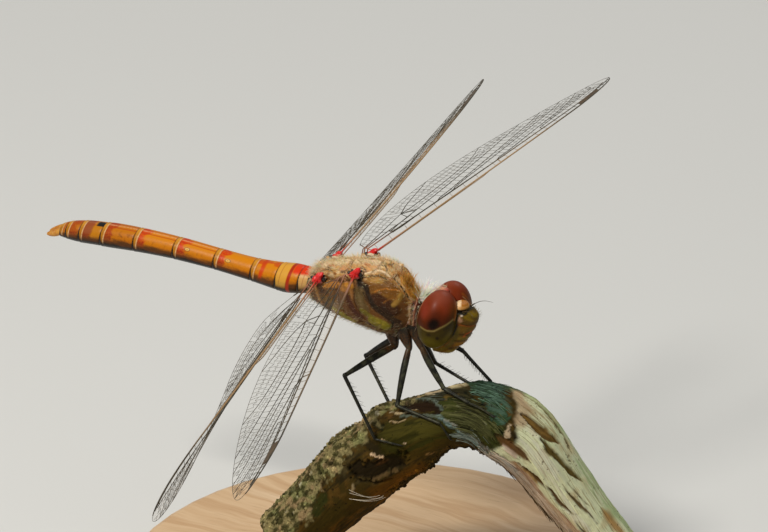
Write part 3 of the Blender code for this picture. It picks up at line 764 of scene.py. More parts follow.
def veinAt(shape, name, t):
    # a vein's q at t; past its end it has reached the hind margin
    width = bladeWidth(shape, t)
    if name == "front":
        return 0.0
    if name == "margin":
        return width
    rows = shape["veins"][name]
    if t > rows[-1][0] and name not in ("radius", "sector"):
        return width
    return min(smoothTable(rows, t), width)


def pleatHeight(shape, t, q):
    # the folded blade: straight slopes between the veins that pass this place
    stops = [(0.0, 0.0), (bladeWidth(shape, t), 0.0)]
    for name, height in veinHeights.items():
        rows = shape["veins"].get(name)
        if rows and rows[0][0] <= t <= rows[-1][0]:
            born = ease(t, rows[0][0], rows[0][0] + 0.05) if rows[0][0] > 0.02 else 1.0
            stops.append((smoothTable(rows, t),
                          height * born * fade(t, rows[-1][0] - 0.08, rows[-1][0])))
    stops.sort()
    return readTable(stops, q) * wings["pleat"] * (1 - 0.65 * t)


def wingAxes(wing, t):
    sweep, lift = radians(wing["sweep"]), radians(wing["lift"])
    along = Vector((sin(sweep) * cos(lift), cos(sweep) * cos(lift), sin(lift)))
    ahead = Vector((cos(sweep), -sin(sweep), 0.0))
    above = ahead.cross(along)
    pitch = radians(blend(wing["pitch"][0], wing["pitch"][1], t))
    return along, ahead * cos(pitch) + above * sin(pitch), above * cos(pitch) - ahead * sin(pitch), above


def wingPoint(wing, t, q, lifted=0.0):
    shape = wing["shape"]
    along, chord, normal, above = wingAxes(wing, t)
    depth = leadDepth(shape, t) + q
    height = pleatHeight(shape, t, q)
    point = Vector(wing["root"]) + shape["length"] * (
        along * t - chord * depth + above * wing["bow"] * t * t + normal * height) + normal * lifted
    point.y *= wing["side"]
    return point


def wingShares(wing, co):
    # the t and q of a point near the blade
    shape = wing["shape"]
    offset = Vector((co.x, co.y * wing["side"], co.z)) - Vector(wing["root"])
    t = offset.dot(wingAxes(wing, 0.0)[0]) / shape["length"]
    chord = wingAxes(wing, t)[1]
    return t, -offset.dot(chord) / shape["length"] - leadDepth(shape, t)


def addShares(piece, wing):
    addValues(piece, "outward", lambda co: wingShares(wing, co)[0])
    addValues(piece, "backward", lambda co: wingShares(wing, co)[1])


def bandLines(shape, band, seed):
    # the cells between two long veins: stations across, and zigzag rows where the band is wide
    upper, lower, start, end, pitch, rowHeight = band
    picker = random.Random(seed)
    length = shape["length"]
    stations = []
    t = start
    while t < end:
        stations.append(t)
        wide = (veinAt(shape, lower, t) - veinAt(shape, upper, t)) * length
        step = pitch * (0.86 if wide > 2.2 * rowHeight else 1.0) / 2
        if rowHeight > oneRow:
            step = pitch
        t += step / length * picker.uniform(0.86, 1.14)
    lines = []
    rowCounts = []
    for t in stations:
        wide = (veinAt(shape, lower, t) - veinAt(shape, upper, t)) * length
        rowCounts.append(max(1, round(wide / rowHeight)) if rowHeight < oneRow else 1)
    for index in range(1, len(rowCounts) - 1):
        if rowCounts[index - 1] == rowCounts[index + 1]:
            rowCounts[index] = rowCounts[index - 1]
    nodes = {}

    def node(index, row, rows):
        # where a row line meets a station; pushed up or down so that the cells have six sides
        key = (index, row, rows)
        if key not in nodes:
            t = stations[index]
            share = row / rows
            if 0 < row < rows:
                share += (0.17 if (index + row) % 2 else -0.17) / rows + picker.uniform(-0.07, 0.07) / rows
                t += picker.uniform(-0.1, 0.1) * pitch / length
            # cross lines stand square to the long veins, so they lean towards the root
            top, bottom = veinAt(shape, upper, t), veinAt(shape, lower, t)
            topSlope = (veinAt(shape, upper, t + 0.01) - veinAt(shape, upper, t - 0.01)) / 0.02
            lowSlope = (veinAt(shape, lower, t + 0.01) - veinAt(shape, lower, t - 0.01)) / 0.02
            slope = min(max(blend(topSlope, lowSlope, share / 2), -0.6), 0.6)
            t -= slope * share * (bottom - top)
            nodes[key] = (t, blend(veinAt(shape, upper, t), veinAt(shape, lower, t), share))
        return nodes[key]

    for index in range(len(stations)):
        rows = rowCounts[index]
        top, bottom = node(index, 0, rows), node(index, rows, rows)
        if (bottom[1] - top[1]) * length < 0.06:
            continue
        fresh = index == 0 or rowCounts[index - 1] != rows
        if rowHeight > oneRow:
            lines.append([top, bottom])
            continue
        for row in range(rows):
            # upright sides, on every second station
            if (index + row) % 2 == 0 or (fresh and rows > 1):
                lines.append([node(index, row, rows), node(index, row + 1, rows)])
    if rowHeight < oneRow:
        for rows in set(rowCounts):
            for row in range(1, rows):
                run = []
                for index in range(len(stations)):
                    if rowCounts[index] == rows:
                        run.append(node(index, row, rows))
                        continue
                    if len(run) > 1:
                        lines.append(run)
                    run = []
                if len(run) > 1:
                    lines.append(run)
    return lines


def makeVeins(name, wing, finish):
    shape = wing["shape"]
    root, end = wings["rootAt"], wings["tipAt"]
    lines = []

    def lay(path, radius, taper=1.0):
        last = max(1, len(path) - 1)
        lines.append([(wingPoint(wing, t, q), radius * blend(1.0, taper, index / last))
                      for index, (t, q) in enumerate(path)])

    # outline: the thick front margin, then the thin hind one
    steps = 70
    lines.append([(wingPoint(wing, blend(root, end, sin(pi / 2 * step / steps)), 0.0),
                   wings["costaRadius"] * (1.15 - 0.55 * (step / steps) ** 2)) for step in range(steps + 1)])
    steps = 90
    hind = [blend(0.02, end, sin(pi / 2 * step / steps)) for step in range(steps + 1)]
    lay([(t, bladeWidth(shape, t)) for t in hind], wings["marginRadius"])
    lay([(root, 0.0), (root, 0.03), (0.012, 0.056), (0.02, bladeWidth(shape, 0.02))], wings["rootRadius"])
    lay([(end, bladeWidth(shape, end) * step / 4) for step in range(5)], wings["marginRadius"])

    for vein, rows in shape["veins"].items():
        first, last = max(rows[0][0], root), rows[-1][0]
        steps = max(6, int((last - first) * 60))
        places = [blend(first, last, step / steps) for step in range(steps + 1)]
        path = [(t, veinAt(shape, vein, t)) for t in places]
        if vein not in wings["short"]:
            path[-1] = (path[-1][0], bladeWidth(shape, path[-1][0]))
        lay(path, veinRadii[vein], wings["veinTaper"])
    # the roots of the long veins bend down into the back
    for q, radius in wings["deepVeins"]:
        start = wingPoint(wing, root, q)
        inside = Vector((start.x + 0.1, start.y * 0.62, start.z - 0.95))
        elbow = start.lerp(inside, 0.4) + Vector((0, start.y * 0.06, 0.06))
        lines.append([(start, radius), (elbow, radius * 1.1), (inside, radius * 1.2)])
    # joins: arculus, the sectors' forks, the triangle and the nodus
    arculus = shape["arculus"]
    lay([(arculus, veinAt(shape, "radius", arculus)), (arculus, veinAt(shape, "stem", arculus))], 0.045)
    for vein in wings["forks"]:
        t, q = shape["veins"][vein][0]
        back = 0.012 if vein != "inter1" else 0.0
        lay([(t - back, veinAt(shape, "sector", t - back)), (t, q)], veinRadii[vein])
    a, b, c = shape["triangle"]
    lay([a, b, c, a], wings["joinRadius"])
    lay([c, (c[0] + 0.004, veinAt(shape, "cubitus", c[0] + 0.004))], 0.036)
    nodus = shape["nodus"]
    lay([(nodus, 0.0), (nodus + 0.006, veinAt(shape, "radius", nodus)),
         (nodus + 0.016, veinAt(shape, "sector", nodus))],
        0.052)
    for t in shape["stigma"]:
        lay([(t, 0.0), (t + 0.004, veinAt(shape, "radius", t))], wings["joinRadius"])
    for number, band in enumerate(shape["bands"]):
        for path in bandLines(shape, band, number * 7 + 3):
            lay(path, wings["crossRadius"] * (wings["crossFull"] if band[5] > oneRow else 1.0))
    piece = asMesh(strands(name.replace("wing_", "veins_"), lines))
    addShares(piece, wing)
    addValues(piece, "amber", lambda co: wing["amber"])
    settle(piece, bodyFrame, finish, [name], 180)


def makeMembrane(name, wing, finish):
    # one thin closed sheet, from the root to the tip
    shape = wing["shape"]
    piece = addGrid(*wings["sheetGrid"])
    piece.name = name.replace("wing_", "membrane_")
    for vertex in piece.data.vertices:
        out = (vertex.co.x + 1) / 2
        back = (vertex.co.y + 1) / 2
        t = 0.007 + 0.99 * sin(pi / 2 * out) + 0.012 * back * (1 - out)
        vertex.co = wingPoint(wing, t, bladeWidth(shape, t) * back)
    thicken(piece, wings["sheet"])
    addShares(piece, wing)
    addValues(piece, "sheen", lambda co: wing["sheen"])
    settle(piece, bodyFrame, finish, (), 180)


def makeStigma(name, wing, finish):
    # the thick coloured cell near the tip
    shape = wing["shape"]
    start, end = shape["stigma"]
    piece = addGrid(16, 5)
    piece.name = name.replace("wing_", "stigma_")
    for vertex in piece.data.vertices:
        t = blend(start, end, (vertex.co.x + 1) / 2) + 0.002 * vertex.co.y
        q = blend(0.0008, veinAt(shape, "radius", t) - 0.0008, (vertex.co.y + 1) / 2)
        vertex.co = wingPoint(wing, t, q)
    thicken(piece, wings["stigmaSheet"])
    settle(piece, bodyFrame, finish, (), 40)


def makeVeinFinish():
    look = Finish("wingVeins", {"Specular IOR Level": 0.4})
    here = look.place(bodyFrame)
    out = look.value("outward")
    back = look.value("backward")
    cloud = look.noise(here, 1.5, 3.0)
    dark = look.mix(look.rise(cloud, 0.3, 0.7), (0.026, 0.021, 0.011), (0.07, 0.05, 0.024))
    # amber along the front margin, red at the very root
    lead = look.fall(back, 0.006, 0.026) * look.fall(out, 0.55, 0.85)
    tone = look.mix(lead * look.value("amber"), dark, (0.4, 0.24, 0.11))
    tone = look.mix(look.fall(out + back * 1.5, 0.05, 0.16) * 0.75, tone, (0.42, 0.17, 0.09))
    tone = look.mix(look.fall(out + back * 1.6, 0.02, 0.055), tone, (0.55, 0.015, 0.01))
    return look.feed(baseColor=tone, roughness=0.35 + 0.25 * cloud)


def makeMembraneFinish():
    look = Finish("wingMembrane", {"Specular IOR Level": 0.8, "Coat Weight": 0.4, "Coat Roughness": 0.08})
    here = look.place(bodyFrame)
    out = look.value("outward")
    back = look.value("backward")
    lead = look.fall(back, 0.018, 0.036) * look.fall(out, 0.35, 0.8)
    cloud = look.noise(here, 0.7, 3.0)
    ripple = look.noise(look.place(bodyFrame, (1.0, 0.5, 1.0)), 3.0, 2.0)
    tone = look.mix(look.rise(cloud, 0.3, 0.7), (0.34, 0.33, 0.26), (0.46, 0.42, 0.32))
    tone = look.mix(lead * 0.8, tone, (0.5, 0.33, 0.16))
    # painted sheen: a higher opacity for the hind wings, standing in for light glancing off them
    sheen = look.value("sheen")
    alpha = wings["membraneAlpha"] * (0.35 + 0.8 * cloud) * (0.4 + 6.0 * sheen) + sheen * lead
    alpha = alpha * (0.12 + 0.88 * look.rise(out, 0.06, 0.22))
    normal = look.bump(ripple, 0.05, 0.5)
    return look.feed(baseColor=tone, roughness=0.16 + 0.14 * cloud, normal=normal, alpha=alpha)


def makeStigmaFinish():
    look = Finish("wingStigma", {"Specular IOR Level": 0.5})
    here = look.place(bodyFrame)
    cloud = look.noise(here, 4.0, 3.0)
    tone = look.mix(look.rise(cloud, 0.35, 0.65), (0.05, 0.032, 0.014), (0.095, 0.058, 0.026))
    return look.feed(baseColor=tone, roughness=0.35 + 0.2 * cloud, normal=look.bump(cloud, 0.02, 0.5))


def makeWings():
    veinFinish, membraneFinish, stigmaFinish = makeVeinFinish(), makeMembraneFinish(), makeStigmaFinish()
    for name, wing in wings["each"].items():
        makeVeins(name, wing, veinFinish)
        makeMembrane(name, wing, membraneFinish)
        makeStigma(name, wing, stigmaFinish)


makeWings()
print("wings made")

# thorax: one skin for both parts, with panels, grooves and painted marks, then its hair

thorax = {
    # along the body, top, bottom, half width
    "sections": ((-3.5, 0.1, -2.2, 1.15), (-2.9, 0.9, -2.6, 1.6), (-1.6, 1.7, -3.0, 1.95),
                 (0.0, 2.5, -3.3, 2.2),
                 (1.6, 3.0, -3.4, 2.35), (3.2, 3.4, -3.5, 2.35), (4.4, 3.1, -3.5, 2.1),
                 (5.3, 2.4, -3.3, 1.65),
                 (5.9, 1.5, -3.0, 1.15), (6.05, 1.25, -2.6, 1.03), (6.4, 1.58, -2.5, 1.33),
                 (6.8, 1.38, -2.2, 1.18),
                 (7.0, 0.9, -1.8, 0.85)),
    "squareness": 2.4, "coatDepth": 0.1, "step": 0.24, "sides": 56, "hairs": 7600,
    # place of the groove behind the front of the thorax, by height
    "frontEdge": ((-3.5, 6.2), (0.3, 6.0), (0.9, 5.88), (1.4, 5.7), (2.0, 5.33), (2.6, 4.78), (3.0, 4.25),
                  (3.2, 3.55),
                  (3.4, 3.1)),
    "dorsum": (0.5, 0.26, 0.08), "cleft": (0.16, 0.058, 0.012), "front": (0.38, 0.135, 0.008),
    "side": (0.115, 0.042, 0.006),
    "belly": (0.04, 0.018, 0.005), "neck": (0.06, 0.014, 0.006),
}

# marks on one flank: points, half width, softness, colour, strength and how far the mark stands out
thoraxMarks = (
    # side panels, from the front to the back
    (((2.7, 1.6, 2.65), (3.6, 1.3, 2.85), (4.4, 1.2, 2.65)), 0.42, 0.16, (0.26, 0.12, 0.02), 0.95, 0.05),
    (((2.9, 1.7, 2.5), (3.5, 1.5, 2.65)), 0.2, 0.12, (0.35, 0.19, 0.042), 0.9, 0.0),
    (((4.0, 1.4, 2.6), (4.7, 1.3, 2.3)), 0.22, 0.14, (0.13, 0.05, 0.006), 0.9, 0.0),
    (((3.1, 2.0, 2.0), (4.0, 1.8, 2.0), (4.9, 1.4, 1.9)), 0.48, 0.16, (0.15, 0.056, 0.005), 0.95, 0.09),
    (((3.2, 2.15, 1.6), (4.1, 2.0, 1.6), (4.8, 1.7, 1.5)), 0.16, 0.14, (0.23, 0.095, 0.01), 0.85, 0.0),
    (((3.5, 2.2, 1.1), (4.2, 2.1, 0.9), (4.8, 1.85, 0.35)), 0.64, 0.16, (0.04, 0.01, 0.001), 0.97, 0.1),
    (((4.1, 2.1, 0.45), (4.7, 1.9, -0.1)), 0.26, 0.18, (0.016, 0.004, 0.001), 0.9, 0.0),
    (((5.3, 1.2, 1.75), (5.15, 1.5, 1.2), (4.95, 1.7, 0.85)), 0.23, 0.12, (0.3, 0.16, 0.026), 0.95, 0.05),
    (((3.2, 2.1, 1.75), (4.0, 1.8, 2.25), (4.9, 1.3, 2.1), (5.5, 0.9, 1.7)), 0.032, 0.025,
     (0.55, 0.19, 0.022), 0.95, 0.02),
    (((4.1, 2.1, 1.0), (4.7, 1.7, 1.5), (5.1, 1.5, 1.4)), 0.03, 0.03, (0.3, 0.11, 0.015), 0.8, 0.0),
    # dark band behind them
    (((1.55, 1.5, 2.45), (1.75, 1.9, 2.0), (2.45, 2.0, 1.65)), 0.3, 0.16, (0.012, 0.007, 0.003), 0.95, -0.08),
    (((2.3, 2.0, 1.9), (2.75, 2.2, 1.2), (3.2, 2.25, 0.5), (3.9, 2.2, -0.1), (4.6, 2.0, -0.6),
      (5.3, 1.6, -1.1)), 0.27, 0.12,
     (0.014, 0.006, 0.002), 0.97, -0.06),
    (((4.6, 2.0, -0.6), (5.3, 1.6, -1.4), (5.2, 1.5, -2.3)), 0.4, 0.22, (0.03, 0.012, 0.004), 0.9, 0.0),
    # olive grey panel and yellow green patch
    (((1.85, 2.2, 1.35), (2.05, 2.3, 0.5), (2.5, 2.3, -0.15)), 0.46, 0.16, (0.105, 0.06, 0.016), 0.95, 0.07),
    (((1.9, 2.25, 1.0), (2.2, 2.3, 0.2)), 0.16, 0.16, (0.17, 0.11, 0.038), 0.8, 0.0),
    (((2.3, 2.3, -0.45), (3.1, 2.3, -0.85), (3.7, 2.2, -1.2)), 0.3, 0.07, (0.145, 0.11, 0.008), 1.0, 0.07),
    (((3.3, 2.2, -1.22), (3.9, 2.1, -1.45), (4.3, 1.95, -1.6)), 0.52, 0.06, (0.18, 0.145, 0.006), 1.0, 0.09),
    (((3.7, 2.15, -1.15), (4.1, 2.0, -1.3)), 0.16, 0.12, (0.3, 0.235, 0.02), 0.8, 0.0),
    (((2.0, 2.0, -1.9), (2.7, 2.0, -1.85), (3.4, 1.9, -2.15), (4.2, 1.8, -2.25), (4.85, 1.8, -1.75),
      (4.85, 1.9, -1.2)),
     0.1, 0.05, (0.006, 0.004, 0.002), 1.0, -0.07),
    # red brown panel and olive patch further back
    (((0.6, 2.2, 0.4), (1.3, 2.25, -0.6), (2.0, 2.2, -1.35)), 0.34, 0.14, (0.052, 0.011, 0.004), 0.97, 0.02),
    (((0.2, 2.2, 0.5), (0.5, 2.2, -0.4), (1.1, 2.1, -1.3)), 0.36, 0.16, (0.11, 0.044, 0.012), 0.9, 0.07),
    (((-0.5, 2.0, -1.6), (0.3, 2.0, -2.0), (1.2, 1.9, -2.3)), 0.34, 0.09, (0.2, 0.165, 0.012), 0.97, 0.06),
    (((-1.6, 1.8, -0.9), (-0.9, 2.0, -0.9), (-0.2, 2.1, -0.9)), 0.4, 0.15, (0.13, 0.066, 0.014), 0.9, 0.06),
    (((-1.6, 1.8, 0.5), (-0.6, 1.9, 0.9), (0.5, 2.1, 1.1)), 0.36, 0.14, (0.34, 0.135, 0.022), 0.95, 0.07),
    (((-0.9, 2.0, 0.45), (0.0, 2.1, 0.75)), 0.11, 0.08, (0.05, 0.018, 0.006), 0.85, -0.04),
    (((0.4, 2.0, 1.6), (1.0, 2.0, 1.5)), 0.26, 0.12, (0.4, 0.16, 0.014), 0.95, 0.1),
    (((1.05, 2.1, 1.15), (1.35, 2.2, 0.5)), 0.16, 0.1, (0.32, 0.13, 0.03), 0.85, 0.06),
    (((-2.6, 1.6, 0.2), (-2.0, 1.8, -0.3), (-1.2, 2.0, -0.1)), 0.18, 0.12, (0.06, 0.022, 0.006), 0.85, -0.03),
    (((-3.0, 1.3, 0.5), (-2.4, 1.6, -0.6), (-1.9, 1.7, -1.6)), 0.16, 0.12, (0.34, 0.17, 0.05), 0.8, 0.05),
    # grooves
    (((3.75, 0.95, 3.15), (4.28, 0.8, 3.0), (4.79, 0.82, 2.62), (5.35, 0.83, 2.03), (5.72, 0.77, 1.4),
      (5.92, 0.6, 0.9)),
     0.075, 0.05, (0.012, 0.006, 0.003), 0.95, -0.12),
    (((2.0, 1.3, 2.75), (2.45, 1.1, 3.02), (2.9, 0.9, 3.2), (3.6, 0.85, 3.2), (4.2, 0.95, 3.0)), 0.11, 0.05,
     (0.7, 0.52, 0.32), 1.0, 0.16),
    (((4.2, 0.97, 3.0), (4.8, 1.0, 2.6), (5.3, 1.0, 2.0)), 0.055, 0.04, (0.5, 0.26, 0.08), 0.9, 0.05),
    (((1.9, 1.6, 2.55), (2.6, 1.4, 2.85), (3.3, 1.25, 3.0), (3.9, 1.25, 2.85)), 0.055, 0.035,
     (0.02, 0.007, 0.002), 0.97, -0.06),
    # dark rims and pale loops in front of the wings
    (((2.45, 0.95, 3.1), (2.62, 0.55, 3.28), (2.9, 0.22, 3.38), (3.3, 0.14, 3.4), (3.6, 0.35, 3.34),
      (3.62, 0.62, 3.26)),
     0.055, 0.035, (0.012, 0.006, 0.003), 0.97, -0.05),
    (((2.95, 0.52, 3.3), (3.3, 0.42, 3.36)), 0.14, 0.05, (0.62, 0.42, 0.2), 0.95, 0.1),
    (((2.2, 2.25, 1.5), (2.6, 2.3, 0.8), (3.3, 2.3, 0.0), (4.2, 2.15, -0.7), (5.0, 1.8, -1.2)), 0.05, 0.04,
     (0.01, 0.006, 0.003), 0.8, -0.08),
    (((1.35, 2.15, 1.5), (1.45, 2.3, 0.5), (1.8, 2.3, -0.5), (2.6, 2.2, -1.5)), 0.045, 0.04,
     (0.012, 0.007, 0.004), 0.8, -0.08),
    (((-0.2, 2.1, 1.2), (-0.1, 2.2, 0.2), (0.1, 2.2, -0.8), (0.7, 2.0, -1.8)), 0.045, 0.05,
     (0.02, 0.009, 0.004), 0.8, -0.07),
    (((-1.6, 1.75, 1.2), (-0.6, 1.9, 1.45), (0.6, 2.0, 1.95), (1.2, 1.8, 2.2)), 0.05, 0.06,
     (0.06, 0.025, 0.008), 0.7, -0.06),
    # back: pale plates with ridges between the wings
    (((-2.4, 0.0, 1.2), (-1.4, 0.0, 1.85), (-0.4, 0.0, 2.3)), 0.42, 0.2, (0.66, 0.5, 0.3), 0.9, 0.1),
    (((0.5, 0.0, 2.7), (1.4, 0.0, 2.95), (2.3, 0.0, 3.2)), 0.45, 0.2, (0.68, 0.52, 0.31), 0.9, 0.1),
    (((-0.5, 0.9, 2.0), (0.2, 0.8, 2.3)), 0.26, 0.14, (0.52, 0.24, 0.09), 0.9, 0.05),
    (((1.9, 0.85, 2.85), (2.6, 0.6, 3.15)), 0.24, 0.14, (0.56, 0.28, 0.1), 0.9, 0.05),
    (((-2.5, 0.7, 0.9), (-1.7, 0.9, 1.4), (-0.9, 1.1, 1.8)), 0.16, 0.1, (0.42, 0.19, 0.05), 0.8, 0.06),
    (((-0.3, 1.2, 2.0), (0.5, 1.2, 2.35)), 0.12, 0.08, (0.07, 0.025, 0.008), 0.8, -0.06),
    (((0.2, 0.0, 2.55), (0.3, 0.7, 2.45), (0.1, 1.3, 2.1)), 0.06, 0.05, (0.12, 0.05, 0.015), 0.8, -0.08),
    (((2.75, 0.0, 3.35), (2.8, 0.6, 3.2), (2.5, 1.1, 3.0)), 0.06, 0.05, (0.11, 0.045, 0.012), 0.8, -0.1),
    (((1.95, 1.05, 2.85), (1.6, 0.8, 2.95), (1.1, 0.85, 2.8), (0.6, 1.15, 2.5)), 0.055, 0.04,
     (0.014, 0.008, 0.004), 0.95, -0.06),
    (((-1.2, 1.15, 1.8), (-1.7, 0.95, 1.65), (-2.3, 1.0, 1.3), (-2.8, 1.1, 0.8)), 0.055, 0.04,
     (0.014, 0.008, 0.004), 0.95, -0.06),
    (((1.5, 0.35, 2.95), (1.9, 0.5, 3.05)), 0.13, 0.08, (0.42, 0.13, 0.022), 0.85, 0.04),
    (((-1.9, 0.35, 1.55), (-1.4, 0.45, 1.85)), 0.13, 0.08, (0.4, 0.13, 0.022), 0.85, 0.04),
    (((0.6, 0.0, 2.7), (1.2, 0.42, 2.85)), 0.03, 0.03, (0.16, 0.06, 0.012), 0.7, -0.03),
    (((-2.9, 0.0, 0.85), (-2.85, 0.6, 0.7), (-3.0, 1.1, 0.3)), 0.06, 0.05, (0.03, 0.012, 0.004), 0.85, -0.05),
    # ridge down the middle of the front
    (((3.3, 0.0, 3.4), (4.4, 0.0, 3.1), (5.3, 0.0, 2.4), (5.8, 0.0, 1.7)), 0.06, 0.05, (0.2, 0.075, 0.014),
     0.7, 0.1),
    # collar in front: upright folds
    (((6.02, 0.0, 1.3), (6.02, 0.85, 0.8), (6.02, 1.05, -0.6), (6.02, 0.9, -1.8)), 0.075, 0.05,
     (0.36, 0.19, 0.085), 0.85, 0.03),
    (((6.25, 0.0, 1.5), (6.25, 1.0, 0.9), (6.25, 1.28, -0.6), (6.25, 1.0, -1.9)), 0.1, 0.06,
     (0.045, 0.01, 0.006), 0.9, -0.04),
    (((6.5, 0.0, 1.6), (6.5, 1.05, 1.0), (6.5, 1.33, -0.6), (6.5, 1.0, -1.9)), 0.07, 0.05, (0.3, 0.11, 0.055),
     0.85, 0.05),
    (((6.75, 0.0, 1.4), (6.75, 0.95, 0.9), (6.75, 1.2, -0.6), (6.75, 1.0, -1.8)), 0.09, 0.06,
     (0.055, 0.012, 0.008), 0.9, -0.03),
    (((6.45, 0.0, 1.6), (6.45, 0.5, 1.5)), 0.22, 0.12, (0.24, 0.085, 0.02), 0.85, 0.08),
)


def makeStrokes(marks, place):
    # each mark laid on the surface by place, in short steps, ready for measuring
    ready = []
    for points, width, soft, colour, strength, lift in marks:
        ends = [Vector(point) for point in points]
        knots = [place(ends[0])]
        for start, end in zip(ends, ends[1:]):
            steps = max(1, round((end - start).length / 0.3))
            knots += [place(start.lerp(end, step / steps)) for step in range(1, steps + 1)]
        reach = width + soft + 0.01
        low = [min(knot[axis] for knot in knots) - reach for axis in range(3)]
        high = [max(knot[axis] for knot in knots) + reach for axis in range(3)]
        ready.append((list(zip(knots, knots[1:])), low, high, width, soft, colour, strength, lift))
    return ready


def strokeShare(stroke, co):
    # 1 in the middle of a mark, 0 beyond its soft edge
    segments, low, high, width, soft = stroke[:5]
    if not (low[0] < co.x < high[0] and low[1] < co.y < high[1] and low[2] < co.z < high[2]):
        return 0.0
    nearest = 9.0
    for start, end in segments:
        span = end - start
        share = min(max((co - start).dot(span) / max(span.length_squared, 1e-9), 0.0), 1.0)
        nearest = min(nearest, (co - start - span * share).length)
    return fade(nearest, width - soft, width + soft)


def stepColour(low, high, share):
    return tuple(blend(a, b, share) for a, b in zip(low, high))


def paintStrokes(colour, strokes, at):
    for stroke in strokes:
        share = strokeShare(stroke, at) * stroke[6]
        if share > 0:
            colour = stepColour(colour, stroke[5], share)
    return colour


def raiseStrokes(lift, strokes, at):
    for stroke in strokes:
        if stroke[7]:
            lift += stroke[7] * strokeShare(stroke, at)
    return lift


def thoraxSection(x):
    top = readTable(thorax["sections"], x, 1)
    bottom = readTable(thorax["sections"], x, 2)
    return (top + bottom) / 2, readTable(thorax["sections"], x, 3), (top - bottom) / 2


def onThorax(co):
    # the same place on the plain outline of one flank
    middle, wide, high = thoraxSection(co.x)
    across, up = abs(co.y) / wide, (co.z - middle) / high
    power = thorax["squareness"]
    size = max((across ** power + abs(up) ** power) ** (1 / power), 0.01)
    return Vector((co.x, across / size * wide, middle + up / size * high))


thoraxStrokes = makeStrokes(thoraxMarks, onThorax)


def aroundThorax(co):
    # 0 along the back, 1 along the belly
    middle, wide, high = thoraxSection(co.x)
    return atan2(abs(co.y) / wide, (co.z - middle) / high) / pi


def thoraxPaint(co):
    # colour of the skin and of the hair rooted in it
    around = aroundThorax(co)
    wander = noise.noise_vector(co * 1.3) * 0.08 + noise.noise_vector(co * 4.5) * 0.035
    at = onThorax(co + wander)
    colour = stepColour(thorax["dorsum"], thorax["cleft"],
                        ease(noise.noise(co * 1.9 + Vector((4, 1, 2))), 0.06, 0.34))
    colour = stepColour(colour, (0.62, 0.46, 0.26),
                        ease(noise.noise(co * 2.6 + Vector((1, 5, 9))), 0.1, 0.36) * 0.8)
    colour = stepColour(colour, thorax["side"], ease(around + wander.x * 0.3, 0.19, 0.28))
    colour = stepColour(colour, thorax["belly"], ease(around + wander.y * 0.3, 0.68, 0.8))
    edge = readTable(thorax["frontEdge"], co.z)
    front = ease(co.x - edge, -0.03, 0.06) * fade(around, 0.6, 0.75)
    gold = stepColour(thorax["front"], (0.52, 0.245, 0.02), ease(noise.noise(co * 1.1), -0.2, 0.5))
    colour = stepColour(colour, gold, front * fade(co.x, 5.85, 6.05))
    colour = stepColour(colour, thorax["neck"], ease(co.x, 5.88, 6.0))
    return paintStrokes(colour, thoraxStrokes, at)


def makeThoraxFinish():
    look = Finish("thoraxCuticle", {"Specular IOR Level": 0.16})
    here = look.place(bodyFrame)
    paint = look.paint()
    cloud = look.noise(here, 1.6, 4.0, 0.65)
    fine = look.noise(here, 9.0, 4.0, 0.65)
    # fine pale down lying back along the panels
    combed = look.noise(look.place(bodyFrame, (0.5, 0.5, 0.09)), 1.0, 3.0, 0.6)
    skin = look.dye(paint, 0.45 + 0.75 * cloud + 0.35 * fine)
    skin = look.mix(look.rise(combed, 0.6, 0.76) * 0.18, skin, look.mix(0.65, paint, (0.55, 0.36, 0.14)))
    skin = look.mix(look.rise(fine, 0.6, 0.74) * 0.45, skin, look.dye(paint, (0.25, 0.18, 0.14)))
    skin = look.mix(look.rise(look.noise(here, 22.0, 2.0), 0.62, 0.72) * 0.35, skin, (0.7, 0.55, 0.32))
    normal = look.bump(cloud * 0.7 + fine * 0.45 + combed * 0.25, 0.1, 0.8)
    return look.feed(baseColor=skin, roughness=0.34 + 0.3 * fine, normal=normal)


def makeThorax():
    first, last = thorax["sections"][0][0], thorax["sections"][-1][0]
    steps = round((last - first) / thorax["step"])
    rings = []
    for step in range(steps + 1):
        x = blend(first, last, step / steps)
        middle, wide, high = thoraxSection(x)
        rings.append((x, middle, wide, high))
    piece = growRings("thoraxShell", rings, thorax["sides"])
    power = thorax["squareness"]
    for vertex in piece.data.vertices:
        # from round sections to fuller ones
        co = vertex.co
        middle, wide, high = thoraxSection(co.x)
        across, up = co.y / wide, (co.z - middle) / high
        size = sqrt(across * across + up * up)
        if size > 0.01:
            full = (abs(across / size) ** power + abs(up / size) ** power) ** (-1 / power) * size
            depth = 1 - thorax["coatDepth"] / min(wide, high)
            vertex.co = (co.x, across / size * full * wide * depth, middle + up / size * full * high * depth)
    addLevels(piece, 2)
    normals = [vertex.normal.copy() for vertex in piece.data.vertices]
    for vertex, normal in zip(piece.data.vertices, normals):
        # raised panels, grooves and a little unevenness
        at = onThorax(vertex.co + noise.noise_vector(vertex.co * 1.3) * 0.08)
        lift = 0.035 * noise.noise(vertex.co * 1.1) + 0.012 * noise.noise(vertex.co * 4.0) - 0.02
        lift = raiseStrokes(lift, thoraxStrokes, at)
        edge = readTable(thorax["frontEdge"], vertex.co.z)
        lift += 0.1 * ease(vertex.co.x - edge, 0.0, 0.5) * fade(vertex.co.x, 5.2, 5.7)
        vertex.co += normal * lift
    addPaint(piece, thoraxPaint)
    return piece


# half the height of each hair's own patch on the bake map, as a share of the map
hairPatch = 0.0013


